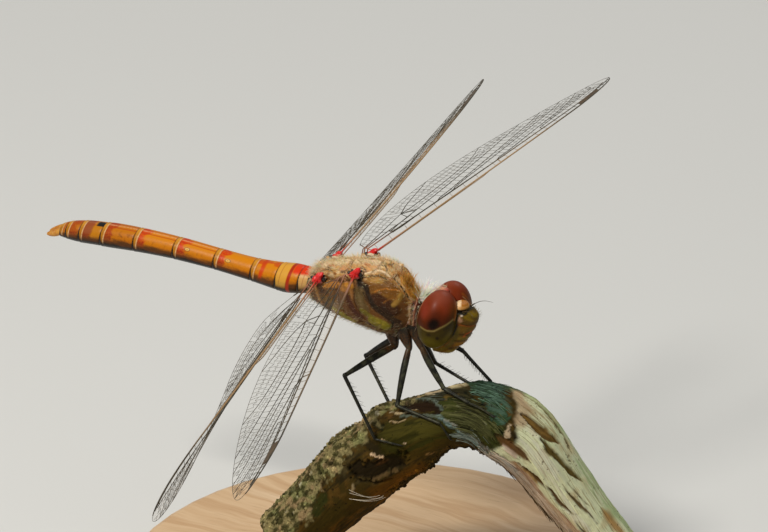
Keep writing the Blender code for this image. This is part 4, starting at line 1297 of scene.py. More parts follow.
def makeCoat(name, skin, plan, paint, unwrap, frameUsed, finish, count):
    # tapering hairs rooted in a skin; plan gives density, length, lift from the skin and the way they lie
    faces = [(face.center.copy(), face.normal.copy(), face.area) for face in skin.data.polygons]
    weights = [area * plan(centre, normal)[0] for centre, normal, area in faces]
    chosen = random.choices(range(len(faces)), weights=weights, k=count)
    corners, sides, patches, colours = [], [], [], []
    for index in chosen:
        centre, normal, area = faces[index]
        spread = sqrt(area) * 0.6
        length, lift, lie, radius = plan(centre, normal)[1:]
        root = centre + Vector([random.uniform(-spread, spread) for _ in range(3)])
        root -= normal * ((root - centre).dot(normal) + 0.03)
        flat = lie - normal * lie.dot(normal)
        if flat.length > 0:
            flat.normalize()
        wild = scatter(0.22)
        length *= random.uniform(0.55, 1.15)
        aim = (normal * lift + flat * (1 - lift) + wild).normalized()
        bend = flat * 0.55 - normal * 0.1 + scatter(0.15)
        tint = [channel * random.uniform(0.75, 1.2) for channel in paint(root)]
        middle = unwrap(root)
        side = aim.cross(normal + Vector((0.01, 0.02, 0.03)))
        if side.length < 1e-4:
            side = aim.cross(Vector((0.3, 0.5, 0.8)))
        side.normalize()
        other = aim.cross(side).normalized()
        start = len(corners)
        for along, thick in ((0.0, 1.0), (0.45, 0.75), (0.8, 0.42)):
            heart = root + aim * (length * along) + bend * (length * along * along * 0.5)
            for corner in range(3):
                angle = 2 * pi * corner / 3
                corners.append(heart + (side * cos(angle) + other * sin(angle)) * (radius * thick))
                patches.append((middle[0] + hairPatch * cos(angle),
                                middle[1] + 2 * hairPatch * (along - 0.5)))
        corners.append(root + aim * length + bend * (length * 0.5))
        patches.append((middle[0], middle[1] + hairPatch))
        sides.append((start + 2, start + 1, start))
        for ring in (0, 3):
            for corner in range(3):
                a, b = start + ring + corner, start + ring + (corner + 1) % 3
                sides.append((a, b, b + 3, a + 3))
        for corner in range(3):
            sides.append((start + 6 + corner, start + 6 + (corner + 1) % 3, start + 9))
        colours += [tint] * 10
    mesh = bpy.data.meshes.new(name)
    mesh.from_pydata(corners, [], sides)
    storePaint(mesh, colours)
    flatPatches = []
    for loop in mesh.loops:
        flatPatches += patches[loop.vertex_index]
    mesh.uv_layers.new(name="OFBake").data.foreach_set("uv", flatPatches)
    settle(addObject(name, mesh), frameUsed, finish, (), 180)


def makeHairFinish():
    look = Finish("hair", {"Roughness": 0.5, "Specular IOR Level": 0.08})
    paint = look.paint()
    cloud = look.noise(look.place(bodyFrame), 1.2, 2.0)
    return look.feed(baseColor=look.dye(paint, 0.9 + 0.4 * cloud))


def thoraxHairPlan(centre, normal):
    # how thick, how long and how upright the hair grows at a place
    around = aroundThorax(centre)
    edge = readTable(thorax["frontEdge"], centre.z)
    front = ease(centre.x - edge, 0.05, 0.25) * fade(around, 0.42, 0.55) * fade(centre.x, 6.2, 6.45)
    crest = front * fade(around, 0.1, 0.22)
    back = fade(around, 0.16, 0.26) * (1 - front)
    collar = ease(centre.x, 6.4, 6.6) * fade(around, 0.08, 0.18)
    neck = ease(centre.x, 5.8, 6.0) * ease(around, 0.16, 0.24)
    low = ease(around, 0.55, 0.75)
    side = max(0.0, 1 - front - back - collar)
    rear = fade(centre.x, -3.0, -2.4)
    roots = hump(centre.x, 1.2, 0.9) + hump(centre.x, -2.2, 0.9)
    full = 1 - 0.4 * min(roots, 1.0) * ease(abs(centre.y), 0.7, 1.3)
    density = 0.045 * side + 1.1 * (front + crest) + 3.0 * collar + 0.44 * back * full + 0.22 * low
    density = density * (1 - 0.6 * neck) + 0.35 * neck + 0.5 * rear
    length = 0.26 * side + 0.66 * front + 0.58 * crest + 1.3 * collar + 0.52 * back + 0.15 * low + 0.22 * rear
    lift = 0.35 * side + 0.78 * front + 0.85 * collar + 0.72 * back + 0.2 * low
    lie = Vector((0.0, 0.0, 0.0))
    for share, way in ((front, (-0.35, 0.0, 0.3)), (side, (-0.8, 0.0, -0.25)), (back, (-0.5, 0.0, 0.2)),
                       (collar, (0.9, 0.0, 0.5)), (neck, (-0.2, 0.0, -0.9)), (rear, (-0.9, 0.0, 0.1))):
        lie += Vector(way) * share
    radius = 0.01 + 0.004 * front + 0.006 * crest + 0.01 * collar
    return max(density, 0.008), length, min(lift, 1.0), lie, radius


def thoraxHairPaint(co):
    around = aroundThorax(co)
    edge = readTable(thorax["frontEdge"], co.z)
    front = ease(co.x - edge, -0.05, 0.15) * fade(co.x, 6.35, 6.5)
    paint = thoraxPaint(co)
    pale = stepColour((0.66, 0.46, 0.19), (0.92, 0.84, 0.58), random.random())
    gold = stepColour((0.52, 0.21, 0.012), (0.8, 0.44, 0.06), random.random())
    # front hair gold, kept pale along the top edge of the crest: pale fuzz, lightened as painted backlight on
    # the outline
    pale = stepColour(pale, gold, front
                      * (0.97 - 0.9 * ease(co.z + 0.4 * co.x, 4.5, 4.9) * fade(around, 0.08, 0.16)))
    # collar tuft behind the head: pale hair whitened further, painted backlight shining through it
    tuft = ease(co.x, 6.4, 6.55) * fade(around, 0.25, 0.5)
    pale = stepColour(pale, (1.0, 1.0, 0.88), tuft)
    if (co.x > 5.85 and around > 0.16 or co.x < -2.6) and random.random() < 0.5:
        return (0.66, 0.5, 0.32)
    return stepColour(paint, pale, max(tuft, blend(0.8, 0.42, ease(around, 0.26, 0.4))))


def thoraxUnwrap(co):
    middle, wide, high = thoraxSection(co.x)
    return (0.01 + 0.98 * (atan2(co.y, co.z - middle) / (2 * pi) + 0.5), 0.01 + 0.98 * (co.x + 3.6) / 10.8)


def makeHinges():
    # the red knobs and dark plates at the root of each wing
    look = Finish("hingePlates", {"Specular IOR Level": 0.4, "Coat Weight": 0.1, "Coat Roughness": 0.2})
    here = look.place(bodyFrame)
    cloud = look.noise(here, 3.5, 4.0, 0.6)
    ridge = look.noise(look.place(bodyFrame, (0.9, 0.25, 0.25)), 1.0, 3.0)
    paint = look.dye(look.paint(), 0.55 + 0.9 * cloud)
    finish = look.feed(baseColor=paint, roughness=0.25 + 0.3 * cloud,
                       normal=look.bump(cloud + ridge, 0.06, 0.7))
    red, black, cream = (0.62, 0.012, 0.01), (0.012, 0.009, 0.008), (0.6, 0.46, 0.3)
    # offset from the wing root, size, turn about the body's side axis and colour
    plates = (
        ((0.05, 0.0, 0.12), (0.48, 0.3, 0.27), -62, red),
        ((-0.28, 0.03, -0.22), (0.34, 0.26, 0.24), -50, red),
        ((0.22, -0.1, 0.42), (0.22, 0.17, 0.15), -50, red),
        ((0.1, 0.14, -0.16), (0.26, 0.16, 0.22), -50, red),
        ((0.5, 0.02, 0.02), (0.17, 0.13, 0.22), 15, black),
        ((0.6, -0.1, 0.12), (0.1, 0.12, 0.12), 15, (0.34, 0.2, 0.1)),
        ((-0.6, -0.1, -0.2), (0.2, 0.14, 0.12), -10, black),
        ((0.3, 0.16, -0.26), (0.2, 0.11, 0.11), -30, (0.16, 0.02, 0.012)),
        ((-0.02, -0.36, 0.12), (0.34, 0.16, 0.08), -12, cream),
        ((-0.42, -0.32, -0.04), (0.16, 0.1, 0.07), -12, black),
        ((-0.8, -0.2, -0.3), (0.2, 0.18, 0.08), -20, (0.45, 0.24, 0.09)),
        ((0.36, -0.3, 0.16), (0.13, 0.12, 0.07), 0, black),
    )
    for wingName in ("fore", "hind"):
        root = wings["each"][f"wing_{wingName}_left"]["root"]
        for label, side in leftRight:
            made = []
            for offset, size, turn, colour in plates:
                plate = addBall(20, 12)
                middle = Vector((root[0] + offset[0], side * (root[1] + offset[1]), root[2] + offset[2]))
                for vertex in plate.data.vertices:
                    co = vertex.co
                    co *= 1 + 0.3 * noise.noise(co * 1.6 + middle) + 0.12 * noise.noise(co * 3.6 + middle)
                plate.data.transform(ovalAt(middle, size, Matrix.Rotation(radians(turn), 4, "Y")))
                addPaint(plate, lambda co, shown=colour: shown)
                made.append(plate)
            piece = join(f"hinge_{wingName}_{label}", made)
            settle(piece, bodyFrame, finish, (), 60)


thoraxSkin = makeThorax()
makeCoat("thoraxCoat", thoraxSkin, thoraxHairPlan, thoraxHairPaint, thoraxUnwrap, bodyFrame, makeHairFinish(),
         thorax["hairs"])
settle(thoraxSkin, bodyFrame, makeThoraxFinish(), ("thorax", "prothorax"), 60)
makeHinges()
print("thorax made")

# head: capsule, two great eyes, face with its mouthparts, knob between the eyes, feelers and short hair

head = {
    "eyeCentre": (0.0, 1.35, 0.0), "eyeSize": (1.65, 1.75, 2.5), "eyeLean": 12.0, "eyeGap": 0.06,
    "backCentre": (-0.75, 0.0, -0.2), "backSize": (0.99, 2.44, 2.09), "faceBack": -0.1, "faceDepth": 0.03,
    # height, how far forward, half width
    "face": ((1.56, 1.6, 0.4), (1.42, 2.2, 0.8), (1.22, 2.55, 1.04), (0.98, 2.86, 1.22), (0.7, 3.04, 1.36),
             (0.3, 3.05, 1.46), (-0.1, 2.93, 1.54), (-0.45, 2.84, 1.6), (-0.95, 2.65, 1.7),
             (-1.45, 2.45, 1.75),
             (-1.95, 2.12, 1.7), (-2.4, 1.8, 1.58), (-2.75, 1.56, 1.38), (-3.05, 1.33, 1.12),
             (-3.28, 1.08, 0.8),
             (-3.38, 0.8, 0.45)),
    # the pale arc across each eye: place from back to front, height
    "arc": ((-1.5, -0.15), (-0.6, -0.33), (0.0, -0.38), (0.55, -0.27), (0.93, 0.05), (1.2, 0.28),
            (1.45, 0.58), (1.7, 0.95)),
    "knobCentre": (1.42, 0.0, 1.16), "knobSize": (0.64, 0.84, 0.44),
    "plateCentre": (-0.32, 0.0, 2.02), "plateSize": (0.42, 0.4, 0.26), "faceHairs": 420, "backHairs": 700,
}

# marks on one eye, in the head's frame: points, half width, softness, colour, strength, lift
eyeMarks = (
    # broad pink patch over the top of the eye: a painted highlight, the soft sheen of light on its upper side
    (((-0.3, 1.3, 2.2), (0.1, 1.6, 2.1)), 0.75, 0.55, (0.22, 0.055, 0.032), 0.6, 0),
    (((-0.9, 2.1, 1.3), (-0.6, 2.5, 0.8)), 0.45, 0.35, (0.19, 0.026, 0.014), 0.6, 0),
    (((0.5, 2.95, 0.95), (0.4, 2.98, 0.3)), 0.55, 0.45, (0.035, 0.005, 0.001), 0.75, 0),
    (((0.45, 2.95, 0.34), (0.36, 2.98, 0.2)), 0.44, 0.26, (0.002, 0.0005, 0.0005), 1.0, 0),
    (((1.0, 0.75, 1.85), (1.35, 1.2, 1.25), (1.58, 1.6, 0.55)), 0.1, 0.07, (0.24, 0.06, 0.006), 0.7, 0),
    (((1.15, 0.6, 1.75), (1.55, 1.15, 1.05), (1.66, 1.5, 0.5)), 0.035, 0.035, (0.42, 0.22, 0.09), 0.75, 0),
    (((-1.3, 1.6, 1.5), (-1.5, 2.0, 0.7), (-1.5, 2.2, -0.3)), 0.16, 0.1, (0.48, 0.19, 0.09), 0.85, 0),
    (((1.5, 1.7, 0.62), (1.2, 2.35, 0.28), (0.93, 2.75, 0.05), (0.55, 3.02, -0.27), (0.0, 3.1, -0.38),
      (-0.7, 2.9, -0.33)),
     0.055, 0.06, (0.23, 0.17, 0.05), 0.85, 0),
    (((1.45, 2.0, 0.22), (1.15, 2.4, -0.08)), 0.13, 0.09, (0.02, 0.013, 0.003), 0.85, 0),
    (((0.1, 3.05, -0.72), (0.2, 3.05, -0.7)), 0.15, 0.12, (0.014, 0.008, 0.001), 0.85, 0),
    (((0.82, 2.8, -0.92), (0.84, 2.8, -0.96)), 0.15, 0.09, (0.008, 0.004, 0.001), 0.95, 0),
    (((0.3, 2.9, -1.6), (0.6, 2.6, -1.9)), 0.5, 0.4, (0.085, 0.068, 0.004), 0.7, 0),
    (((1.2, 2.1, -1.0), (1.3, 1.9, -0.6)), 0.3, 0.25, (0.095, 0.068, 0.003), 0.6, 0),
)

faceMarks = (
    # forehead: brown with olive yellow edges, pink white flecks by the eye
    (((2.3, 1.15, 1.15), (2.8, 0.7, 1.0), (3.0, 0.0, 0.85)), 0.2, 0.12, (0.15, 0.092, 0.003), 0.95, 0.04),
    (((2.75, 1.05, 0.75), (3.0, 0.6, 0.4), (3.0, 0.35, -0.05)), 0.17, 0.16, (0.145, 0.086, 0.002), 0.85, 0.0),
    (((2.3, 1.2, 0.3), (2.7, 0.8, 0.1), (2.9, 0.3, 0.2)), 0.26, 0.2, (0.062, 0.028, 0.001), 0.85, 0.0),
    (((2.0, 1.35, 0.5), (2.2, 1.3, 0.1), (2.3, 1.35, -0.4)), 0.16, 0.14, (0.12, 0.045, 0.004), 0.85, 0.0),
    (((2.0, 1.25, 0.55), (2.2, 1.2, 0.35)), 0.13, 0.09, (0.36, 0.19, 0.11), 0.8, 0.03),
    (((2.02, 1.05, 0.86), (2.1, 1.05, 0.78)), 0.065, 0.04, (0.8, 0.66, 0.52), 0.95, 0.02),
    (((1.8, 1.3, 0.5), (1.82, 1.33, 0.4)), 0.06, 0.04, (0.74, 0.58, 0.42), 0.95, 0.02),
    (((3.05, 0.0, 0.9), (3.05, 0.0, 0.0)), 0.04, 0.05, (0.045, 0.026, 0.003), 0.7, -0.07),
    # upper lip shield
    (((2.9, 0.0, -0.1), (2.7, 0.9, -0.05), (2.2, 1.4, 0.05)), 0.045, 0.04, (0.24, 0.05, 0.006), 0.85, -0.07),
    (((2.75, 0.0, -0.45), (2.5, 0.9, -0.45)), 0.24, 0.16, (0.11, 0.056, 0.002), 0.8, 0.04),
    (((2.62, 0.3, -0.62), (2.5, 0.6, -0.85), (2.4, 0.8, -1.1)), 0.09, 0.08, (0.36, 0.06, 0.008), 0.85, 0.0),
    (((2.0, 1.5, -0.3), (1.7, 1.65, -0.9), (1.5, 1.65, -1.5)), 0.16, 0.14, (0.1, 0.07, 0.002), 0.7, 0.0),
    (((2.68, 0.0, -1.0), (2.45, 0.9, -0.95), (1.9, 1.45, -0.8)), 0.04, 0.04, (0.035, 0.02, 0.003), 0.7,
     -0.06),
    (((2.35, 0.3, -1.3), (2.1, 1.0, -1.3)), 0.2, 0.14, (0.15, 0.096, 0.006), 0.8, 0.05),
    # lip and jaws
    (((2.35, 0.0, -1.6), (2.1, 0.9, -1.55), (1.6, 1.4, -1.5)), 0.04, 0.04, (0.028, 0.014, 0.003), 0.8, -0.07),
    (((2.15, 0.2, -1.95), (1.85, 0.9, -1.95)), 0.28, 0.1, (0.2, 0.085, 0.004), 0.95, 0.09),
    (((1.55, 1.25, -2.0), (1.3, 1.35, -2.2)), 0.22, 0.12, (0.06, 0.02, 0.004), 0.9, 0.06),
    (((1.35, 1.1, -2.5), (1.6, 0.7, -2.6)), 0.1, 0.07, (0.018, 0.008, 0.003), 0.9, -0.03),
    (((1.85, 0.0, -2.4), (1.6, 0.9, -2.38), (1.1, 1.3, -2.35)), 0.05, 0.04, (0.02, 0.01, 0.003), 0.9, -0.08),
    (((1.35, 0.45, -2.85), (1.2, 0.7, -2.9)), 0.32, 0.16, (0.185, 0.125, 0.016), 0.9, 0.06),
    (((1.5, 0.0, -2.5), (1.0, 0.0, -3.3)), 0.035, 0.04, (0.04, 0.02, 0.004), 0.8, -0.06),
)


def eyeCentre(side):
    return Vector((head["eyeCentre"][0], head["eyeCentre"][1] * side, head["eyeCentre"][2]))


def onEye(co):
    # the same place on the plain outline of one eye
    centre = Vector(head["eyeCentre"])
    lean = Matrix.Rotation(radians(head["eyeLean"]), 3, "X")
    local = lean.inverted() @ (Vector((co.x, abs(co.y), co.z)) - centre)
    scaled = Vector([value / size for value, size in zip(local, head["eyeSize"])])
    return centre + lean @ (local / max(scaled.length, 0.01))


def onFace(co):
    # the same place on the plain outline of one half of the face
    low = head["faceBack"]
    forward, wide = (smoothTable(head["face"][::-1], co.z, column) for column in (1, 2))
    ahead, across = (co.x - low) / (forward - low), abs(co.y) / wide
    size = max(sqrt(ahead * ahead + across * across), 0.01)
    return Vector((low + ahead / size * (forward - low), across / size * wide, co.z))


eyeStrokes = makeStrokes(eyeMarks, onEye)
faceStrokes = makeStrokes(faceMarks, onFace)


def eyePaint(co):
    at = onEye(co)
    arc = readTable(head["arc"], co.x)
    upper = stepColour((0.05, 0.009, 0.001), (0.15, 0.02, 0.004), ease(co.z - arc, 0.2, 1.5))
    upper = stepColour(upper, (0.095, 0.038, 0.001), ease(co.x + 0.35 * co.z, 1.5, 2.1) * 0.8)
    lower = stepColour((0.06, 0.045, 0.001), (0.034, 0.023, 0.001), ease(co.z, -1.9, -0.5))
    colour = stepColour(upper, lower, ease(arc - co.z, -0.02, 0.12))
    return paintStrokes(colour, eyeStrokes, at)


def eyeLevel(co):
    # 1 on the eye's surface, more outside it
    side = 1 if co.y > 0 else -1
    centre = eyeCentre(side)
    local = Matrix.Rotation(radians(-head["eyeLean"] * side), 3, "X") @ (co - centre)
    return Vector([value / size for value, size in zip(local, head["eyeSize"])]).length


def makeEyes():
    look = Finish("eyeSurface", {"Coat Weight": 0.03, "Coat Roughness": 0.24, "Specular IOR Level": 0.06})
    here = look.place(headFrame)
    paint = look.paint()
    facets = look.cells(here, 26.0)
    cloud = look.noise(here, 1.4, 3.0)
    skin = look.dye(paint, 0.86 + 0.28 * cloud)
    skin = look.mix(look.rise(facets, 0.35, 0.62) * 0.04, skin, (0.2, 0.09, 0.03))
    finish = look.feed(baseColor=skin, roughness=0.36 + 0.1 * cloud,
                       normal=look.bump(1 - facets, 0.006, 0.25))
    for label, side in leftRight:
        piece = addBall(72, 48)
        piece.name = f"eyeball_{label}"
        lean = Matrix.Rotation(radians(head["eyeLean"] * side), 4, "X")
        piece.data.transform(ovalAt(eyeCentre(side), head["eyeSize"], lean))
        addLevels(piece, 1)
        for vertex in piece.data.vertices:
            vertex.co.y = side * max(side * vertex.co.y, head["eyeGap"])
        addPaint(piece, eyePaint)
        settle(piece, headFrame, finish, [f"eye_{label}"], 80)


def facePaint(co):
    wander = noise.noise_vector(co * 2.2) * 0.05
    at = onFace(co + wander)
    colour = stepColour((0.075, 0.034, 0.001), (0.08, 0.043, 0.001), ease(co.z, -0.6, 0.6))
    colour = stepColour(colour, (0.115, 0.05, 0.003), ease(-co.z, 1.2, 2.0))
    colour = paintStrokes(colour, faceStrokes, at)
    # black valley behind the forehead, and a black line beside each eye
    valley = ease(co.z, 0.78, 0.92) * fade(co.x + 0.25 * abs(co.y), 2.35, 2.55)
    colour = stepColour(colour, (0.006, 0.006, 0.004), valley)
    level = eyeLevel(co)
    rim = fade(level, 1.05, 1.1) * ease(co.z, -1.3, -0.9)
    colour = stepColour(colour, (0.008, 0.006, 0.003), rim)
    olive = ease(level, 1.06, 1.1) * fade(level, 1.2, 1.32) * fade(co.z, -0.5, 0.0)
    return stepColour(colour, (0.1, 0.074, 0.004), olive * 0.6)


def makeFace():
    top, low = head["face"][0][0], head["face"][-1][0]
    rings, steps, back = [], 40, head["faceBack"]
    for step in range(steps + 1):
        z = blend(top, low, step / steps)
        rings.append((-z, back, smoothTable(head["face"][::-1], z, 2),
                      smoothTable(head["face"][::-1], z, 1) - back))
    piece = growRings("faceShell", rings, 48)
    for vertex in piece.data.vertices:
        # stand the rings upright, with a flat back
        down, across, ahead = vertex.co
        vertex.co = (max(ahead, back), across, -down)
    addLevels(piece, 1)
    faceOutwards(piece)
    normals = [vertex.normal.copy() for vertex in piece.data.vertices]
    for vertex, normal in zip(piece.data.vertices, normals):
        co = vertex.co
        at = onFace(co)
        lift = 0.012 * noise.noise(co * 3.0) - head["faceDepth"]
        lift = raiseStrokes(lift, faceStrokes, at)
        if co.x > back + 0.02:
            vertex.co = co + normal * lift
        ceiling = 0.92 + 0.5 * ease(vertex.co.x, 2.0, 2.35)
        if vertex.co.z > ceiling:
            vertex.co.z = ceiling + (vertex.co.z - ceiling) * 0.12
    addPaint(piece, facePaint)
    look = Finish("faceCuticle", {"Specular IOR Level": 0.14})
    here = look.place(headFrame)
    cloud = look.noise(here, 2.2, 4.0, 0.6)
    fine = look.noise(here, 12.0, 3.0, 0.6)
    pits = look.cells(here, 9.0)
    skin = look.dye(look.paint(), 0.75 + 0.45 * cloud + 0.1 * fine)
    skin = look.mix(look.rise(look.noise(here, 18.0, 2.0), 0.62, 0.74) * 0.14, skin, (0.34, 0.22, 0.06))
    finish = look.feed(baseColor=skin, roughness=0.3 + 0.25 * fine,
                       normal=look.bump(cloud + fine * 0.4 - pits * 0.5, 0.03, 0.6))
    return piece, finish


def makeCapsule():
    # back of the head, with the small red plate between the eyes above
    piece = addBall(48, 32)
    piece.data.transform(ovalAt(head["backCentre"], head["backSize"]))
    addLevels(piece, 1)

    def paint(co):
        level = eyeLevel(co)
        rim = fade(level, 1.02, 1.14)
        streak = ease(noise.noise(Vector((co.x * 5, co.y * 5, co.z * 1.2))), -0.1, 0.3)
        colour = stepColour((0.05, 0.014, 0.009), (0.24, 0.085, 0.045), streak * 0.6)
        colour = stepColour(colour, (0.44, 0.2, 0.11), rim * ease(co.z, -0.9, -0.2))
        return stepColour(colour, (0.09, 0.07, 0.016), rim * fade(co.z, -0.9, -0.2))

    addPaint(piece, paint)
    plate = addBall(24, 16)
    plate.data.transform(ovalAt(head["plateCentre"], head["plateSize"]))
    addPaint(plate, lambda co: stepColour((0.56, 0.24, 0.14), (0.34, 0.05, 0.025), ease(co.x, -0.5, 0.0)))
    look = Finish("headCuticle", {"Roughness": 0.5, "Specular IOR Level": 0.25})
    here = look.place(headFrame)
    cloud = look.noise(here, 3.0, 4.0, 0.6)
    skin = look.dye(look.paint(), 0.6 + 0.8 * cloud)
    finish = look.feed(baseColor=skin, roughness=0.4 + 0.2 * cloud, normal=look.bump(cloud, 0.04, 0.6))
    return join("headShell", [piece, plate]), finish


def makeKnob():
    # the pale and orange knob between eyes and forehead, and the feelers' sockets
    piece = addBall(40, 28)
    piece.name = "headKnob"
    for vertex in piece.data.vertices:
        co = vertex.co
        co *= 1 + 0.06 * noise.noise(co * 1.6) - 0.1 * hump(co.y, 0.0, 0.16) * ease(co.z, 0.2, 0.7)
        co.y *= 1 - 0.22 * ease(co.x, 0.0, 1.0)
    piece.data.transform(ovalAt(head["knobCentre"], head["knobSize"]))

    def paint(co):
        ahead = ease(co.x + 0.5 * co.y + 0.05 * noise.noise(co * 4), 1.22, 1.38)
        colour = stepColour((0.7, 0.5, 0.28), (0.34, 0.115, 0.004), ahead)
        colour = stepColour(colour, (0.5, 0.23, 0.05),
                            ease(1.44 + 0.05 * noise.noise(co * 6) - co.z, 0.0, 0.1) * 0.8)
        return stepColour((0.03, 0.016, 0.005), colour, ease(co.z, 1.12, 1.2))

    addPaint(piece, paint)
    look = Finish("knobCuticle", {"Specular IOR Level": 0.25})
    here = look.place(headFrame)
    cloud = look.noise(here, 5.0, 3.0)
    skin = look.dye(look.paint(), 0.8 + 0.4 * cloud)
    finish = look.feed(baseColor=skin, roughness=0.34 + 0.2 * cloud, normal=look.bump(cloud, 0.05, 0.7))
    settle(piece, headFrame, finish, (), 80)


def makeFeelers():
    look = Finish("feelerCuticle", {"Coat Weight": 0.3})
    cloud = look.noise(look.place(headFrame), 4.0, 2.0)
    finish = look.feed(baseColor=look.mix(cloud, (0.01, 0.008, 0.006), (0.05, 0.03, 0.014)),
                       roughness=0.35 + 0.1 * cloud)
    for label, side in leftRight:
        knots = []
        for step in range(25):
            share = step / 24
            reach = share ** 1.1
            point = (1.88 + 1.5 * reach, side * (0.78 + 1.05 * reach),
                     1.02 + 0.42 * reach + 0.3 * sin(pi * share))
            if share < 0.1:
                radius = 0.085 - 0.2 * abs(share - 0.05)
            elif share < 0.2:
                radius = 0.06 - 0.25 * abs(share - 0.15)
            else:
                radius = blend(0.03, 0.01, (share - 0.2) / 0.8)
            knots.append((point, radius))
        settle(strands(f"feeler_{label}", [knots], 2), headFrame, finish,
               [f"antenna_{label}"], 80)


def faceHairPlan(centre, normal):
    if centre.x < 0.3 or eyeLevel(centre) < 1.06:
        return 0.0, 0.1, 1.0, Vector((0, 0, 1)), 0.006
    upper = ease(centre.z, -0.2, 0.6)
    lie = Vector((0.2, 0.0, 0.8)) if centre.z > 0 else Vector((0, 0, -1))
    return 0.5 + 0.5 * upper, 0.26 + 0.16 * upper, 0.75, lie, 0.0065


def faceHairPaint(co):
    return stepColour((0.34, 0.24, 0.06), (0.05, 0.035, 0.01), random.random())


def headHairPlan(centre, normal):
    level = eyeLevel(centre)
    if centre.x > -0.2 or level < 1.01:
        return 0.0, 0.1, 1.0, Vector((-1, 0, 0)), 0.006
    rim = fade(level, 1.05, 1.25)
    upper = ease(centre.z, 0.8, 1.6)
    return 0.15 + 0.6 * rim + 0.6 * upper, 0.22 + 0.25 * upper, 0.55, Vector((-1.0, 0.0, 0.4)), 0.008


def headHairPaint(co):
    return stepColour((0.78, 0.7, 0.52), (0.7, 0.42, 0.26), random.random())


def headUnwrap(co):
    return (0.01 + 0.98 * (atan2(co.y, co.x + 0.5) / (2 * pi) + 0.5), 0.01 + 0.98 * (co.z + 3.6) / 6.6)


makeEyes()
faceSkin, faceFinish = makeFace()
makeCoat("faceCoat", faceSkin, faceHairPlan, faceHairPaint, headUnwrap, headFrame, makeHairFinish(),
         head["faceHairs"])
settle(faceSkin, headFrame, faceFinish, ["face"], 70)
capsuleSkin, capsuleFinish = makeCapsule()
makeCoat("headCoat", capsuleSkin, headHairPlan, headHairPaint, headUnwrap, headFrame, makeHairFinish(),
         head["backHairs"])
settle(capsuleSkin, headFrame, capsuleFinish, ["head"], 70)
makeKnob()
makeFeelers()
print("head made")

# perch: places on the bent stem

perch = {
    "heading": 27.35, "cutHeight": 8.5, "trim": 0.01,
    # along, up, radius
    "path": ((-8.7, 7.8, 2.8), (-4.9, 11.9, 3.0), (-1.3, 15.5, 3.3), (3.0, 18.6, 2.85), (7.3, 20.2, 2.5),
             (11.0, 18.7, 3.0),
             (14.8, 13.6, 2.6), (18.0, 9.2, 2.2), (20.0, 6.6, 2.1)),
}
heading = radians(perch["heading"])
perchAlong = Vector((cos(heading), sin(heading), 0.0))
perchNear = Vector((sin(heading), -cos(heading), 0.0))


def perchAxis(share):
    along, up, radius = smoothPath(perch["path"], share)
    return perchAlong * along + Vector((0.0, 0.0, up)), radius


def perchPoint(share, angle, clear=0.0):
    # angle 0 is outside the bend, 90 the right side
    centre, radius = perchAxis(share)
    tangent = (perchAxis(share + 0.005)[0] - perchAxis(share - 0.005)[0]).normalized()
    outward = perchNear.cross(tangent).normalized()
    if outward.z < 0:
        outward.negate()
    turn = radians(angle)
    return centre + (outward * cos(turn) + perchNear * sin(turn)) * (radius + clear)


# legs: segments of the right thickness, claws and rows of bristles

legs = {
    # coxa, hip and knee in the body's frame, then foot and toe on the perch as share and angle
    "hind_right": ((4.6, -0.9, -3.7), (4.8, -1.1, -3.95), (3.0, -6.6, -4.0), (0.31, 45), (0.34, 68)),
    "hind_left": ((4.6, 0.9, -3.7), (4.7, 0.9, -4.0), (1.0, 1.0, -8.0), (0.335, -60), (0.36, -84)),
    "middle_right": ((5.8, -0.9, -3.4), (6.1, -1.1, -3.6), (6.8, -4.35, -7.3), (0.435, 68), (0.44, 95)),
    "middle_left": ((5.8, 0.9, -3.4), (6.0, 1.0, -3.7), (6.9, 2.25, -7.3), (0.5, -60), (0.53, -84)),
    "front_right": ((6.8, -0.7, -2.9), (7.1, -0.9, -3.2), (9.9, -2.0, -5.9), (0.495, 45), (0.54, 62)),
    "front_left": ((6.8, 0.7, -2.9), (7.0, 0.8, -3.2), (9.4, 2.3, -5.05), (0.54, -50), (0.58, -68)),
}
legSizes = {"coxa": 0.42, "femur": 0.27, "knee": 0.2, "tibia": 0.145, "tarsus": 0.095, "bristle": 0.018,
            "clear": 0.37}


def makeLegFinish():
    look = Finish("legCuticle", {"Specular IOR Level": 0.2})
    here = look.place(bodyFrame)
    cloud = look.noise(here, 1.8, 4.0, 0.6)
    fine = look.noise(here, 9.0, 3.0)
    skin = look.mix(look.rise(cloud, 0.4, 0.68), (0.005, 0.005, 0.003), (0.018, 0.016, 0.008))
    # pale stripe: the leg's own stripe, with a painted highlight on the side facing up and toward the camera
    skin = look.mix(look.value("streak") * look.rise(cloud, 0.34, 0.66) * 0.6, skin, (0.085, 0.086, 0.045))
    skin = look.mix(look.value("hip") * look.rise(fine, 0.35, 0.65), skin, (0.07, 0.028, 0.008))
    skin = look.mix(look.rise(fine, 0.6, 0.74) * 0.25, skin, (0.1, 0.09, 0.05))
    return look.feed(baseColor=skin, roughness=0.26 + 0.25 * fine,
                     normal=look.bump(cloud + fine * 0.3, 0.03, 0.5))


def layTube(points, sizes, steps):
    # an even run of places and sizes along a smooth path
    knots = []
    for step in range(steps + 1):
        share = step / steps
        knots.append((Vector(smoothPath(points, share)), smoothPath([(size,) for size in sizes], share)[0]))
    return knots


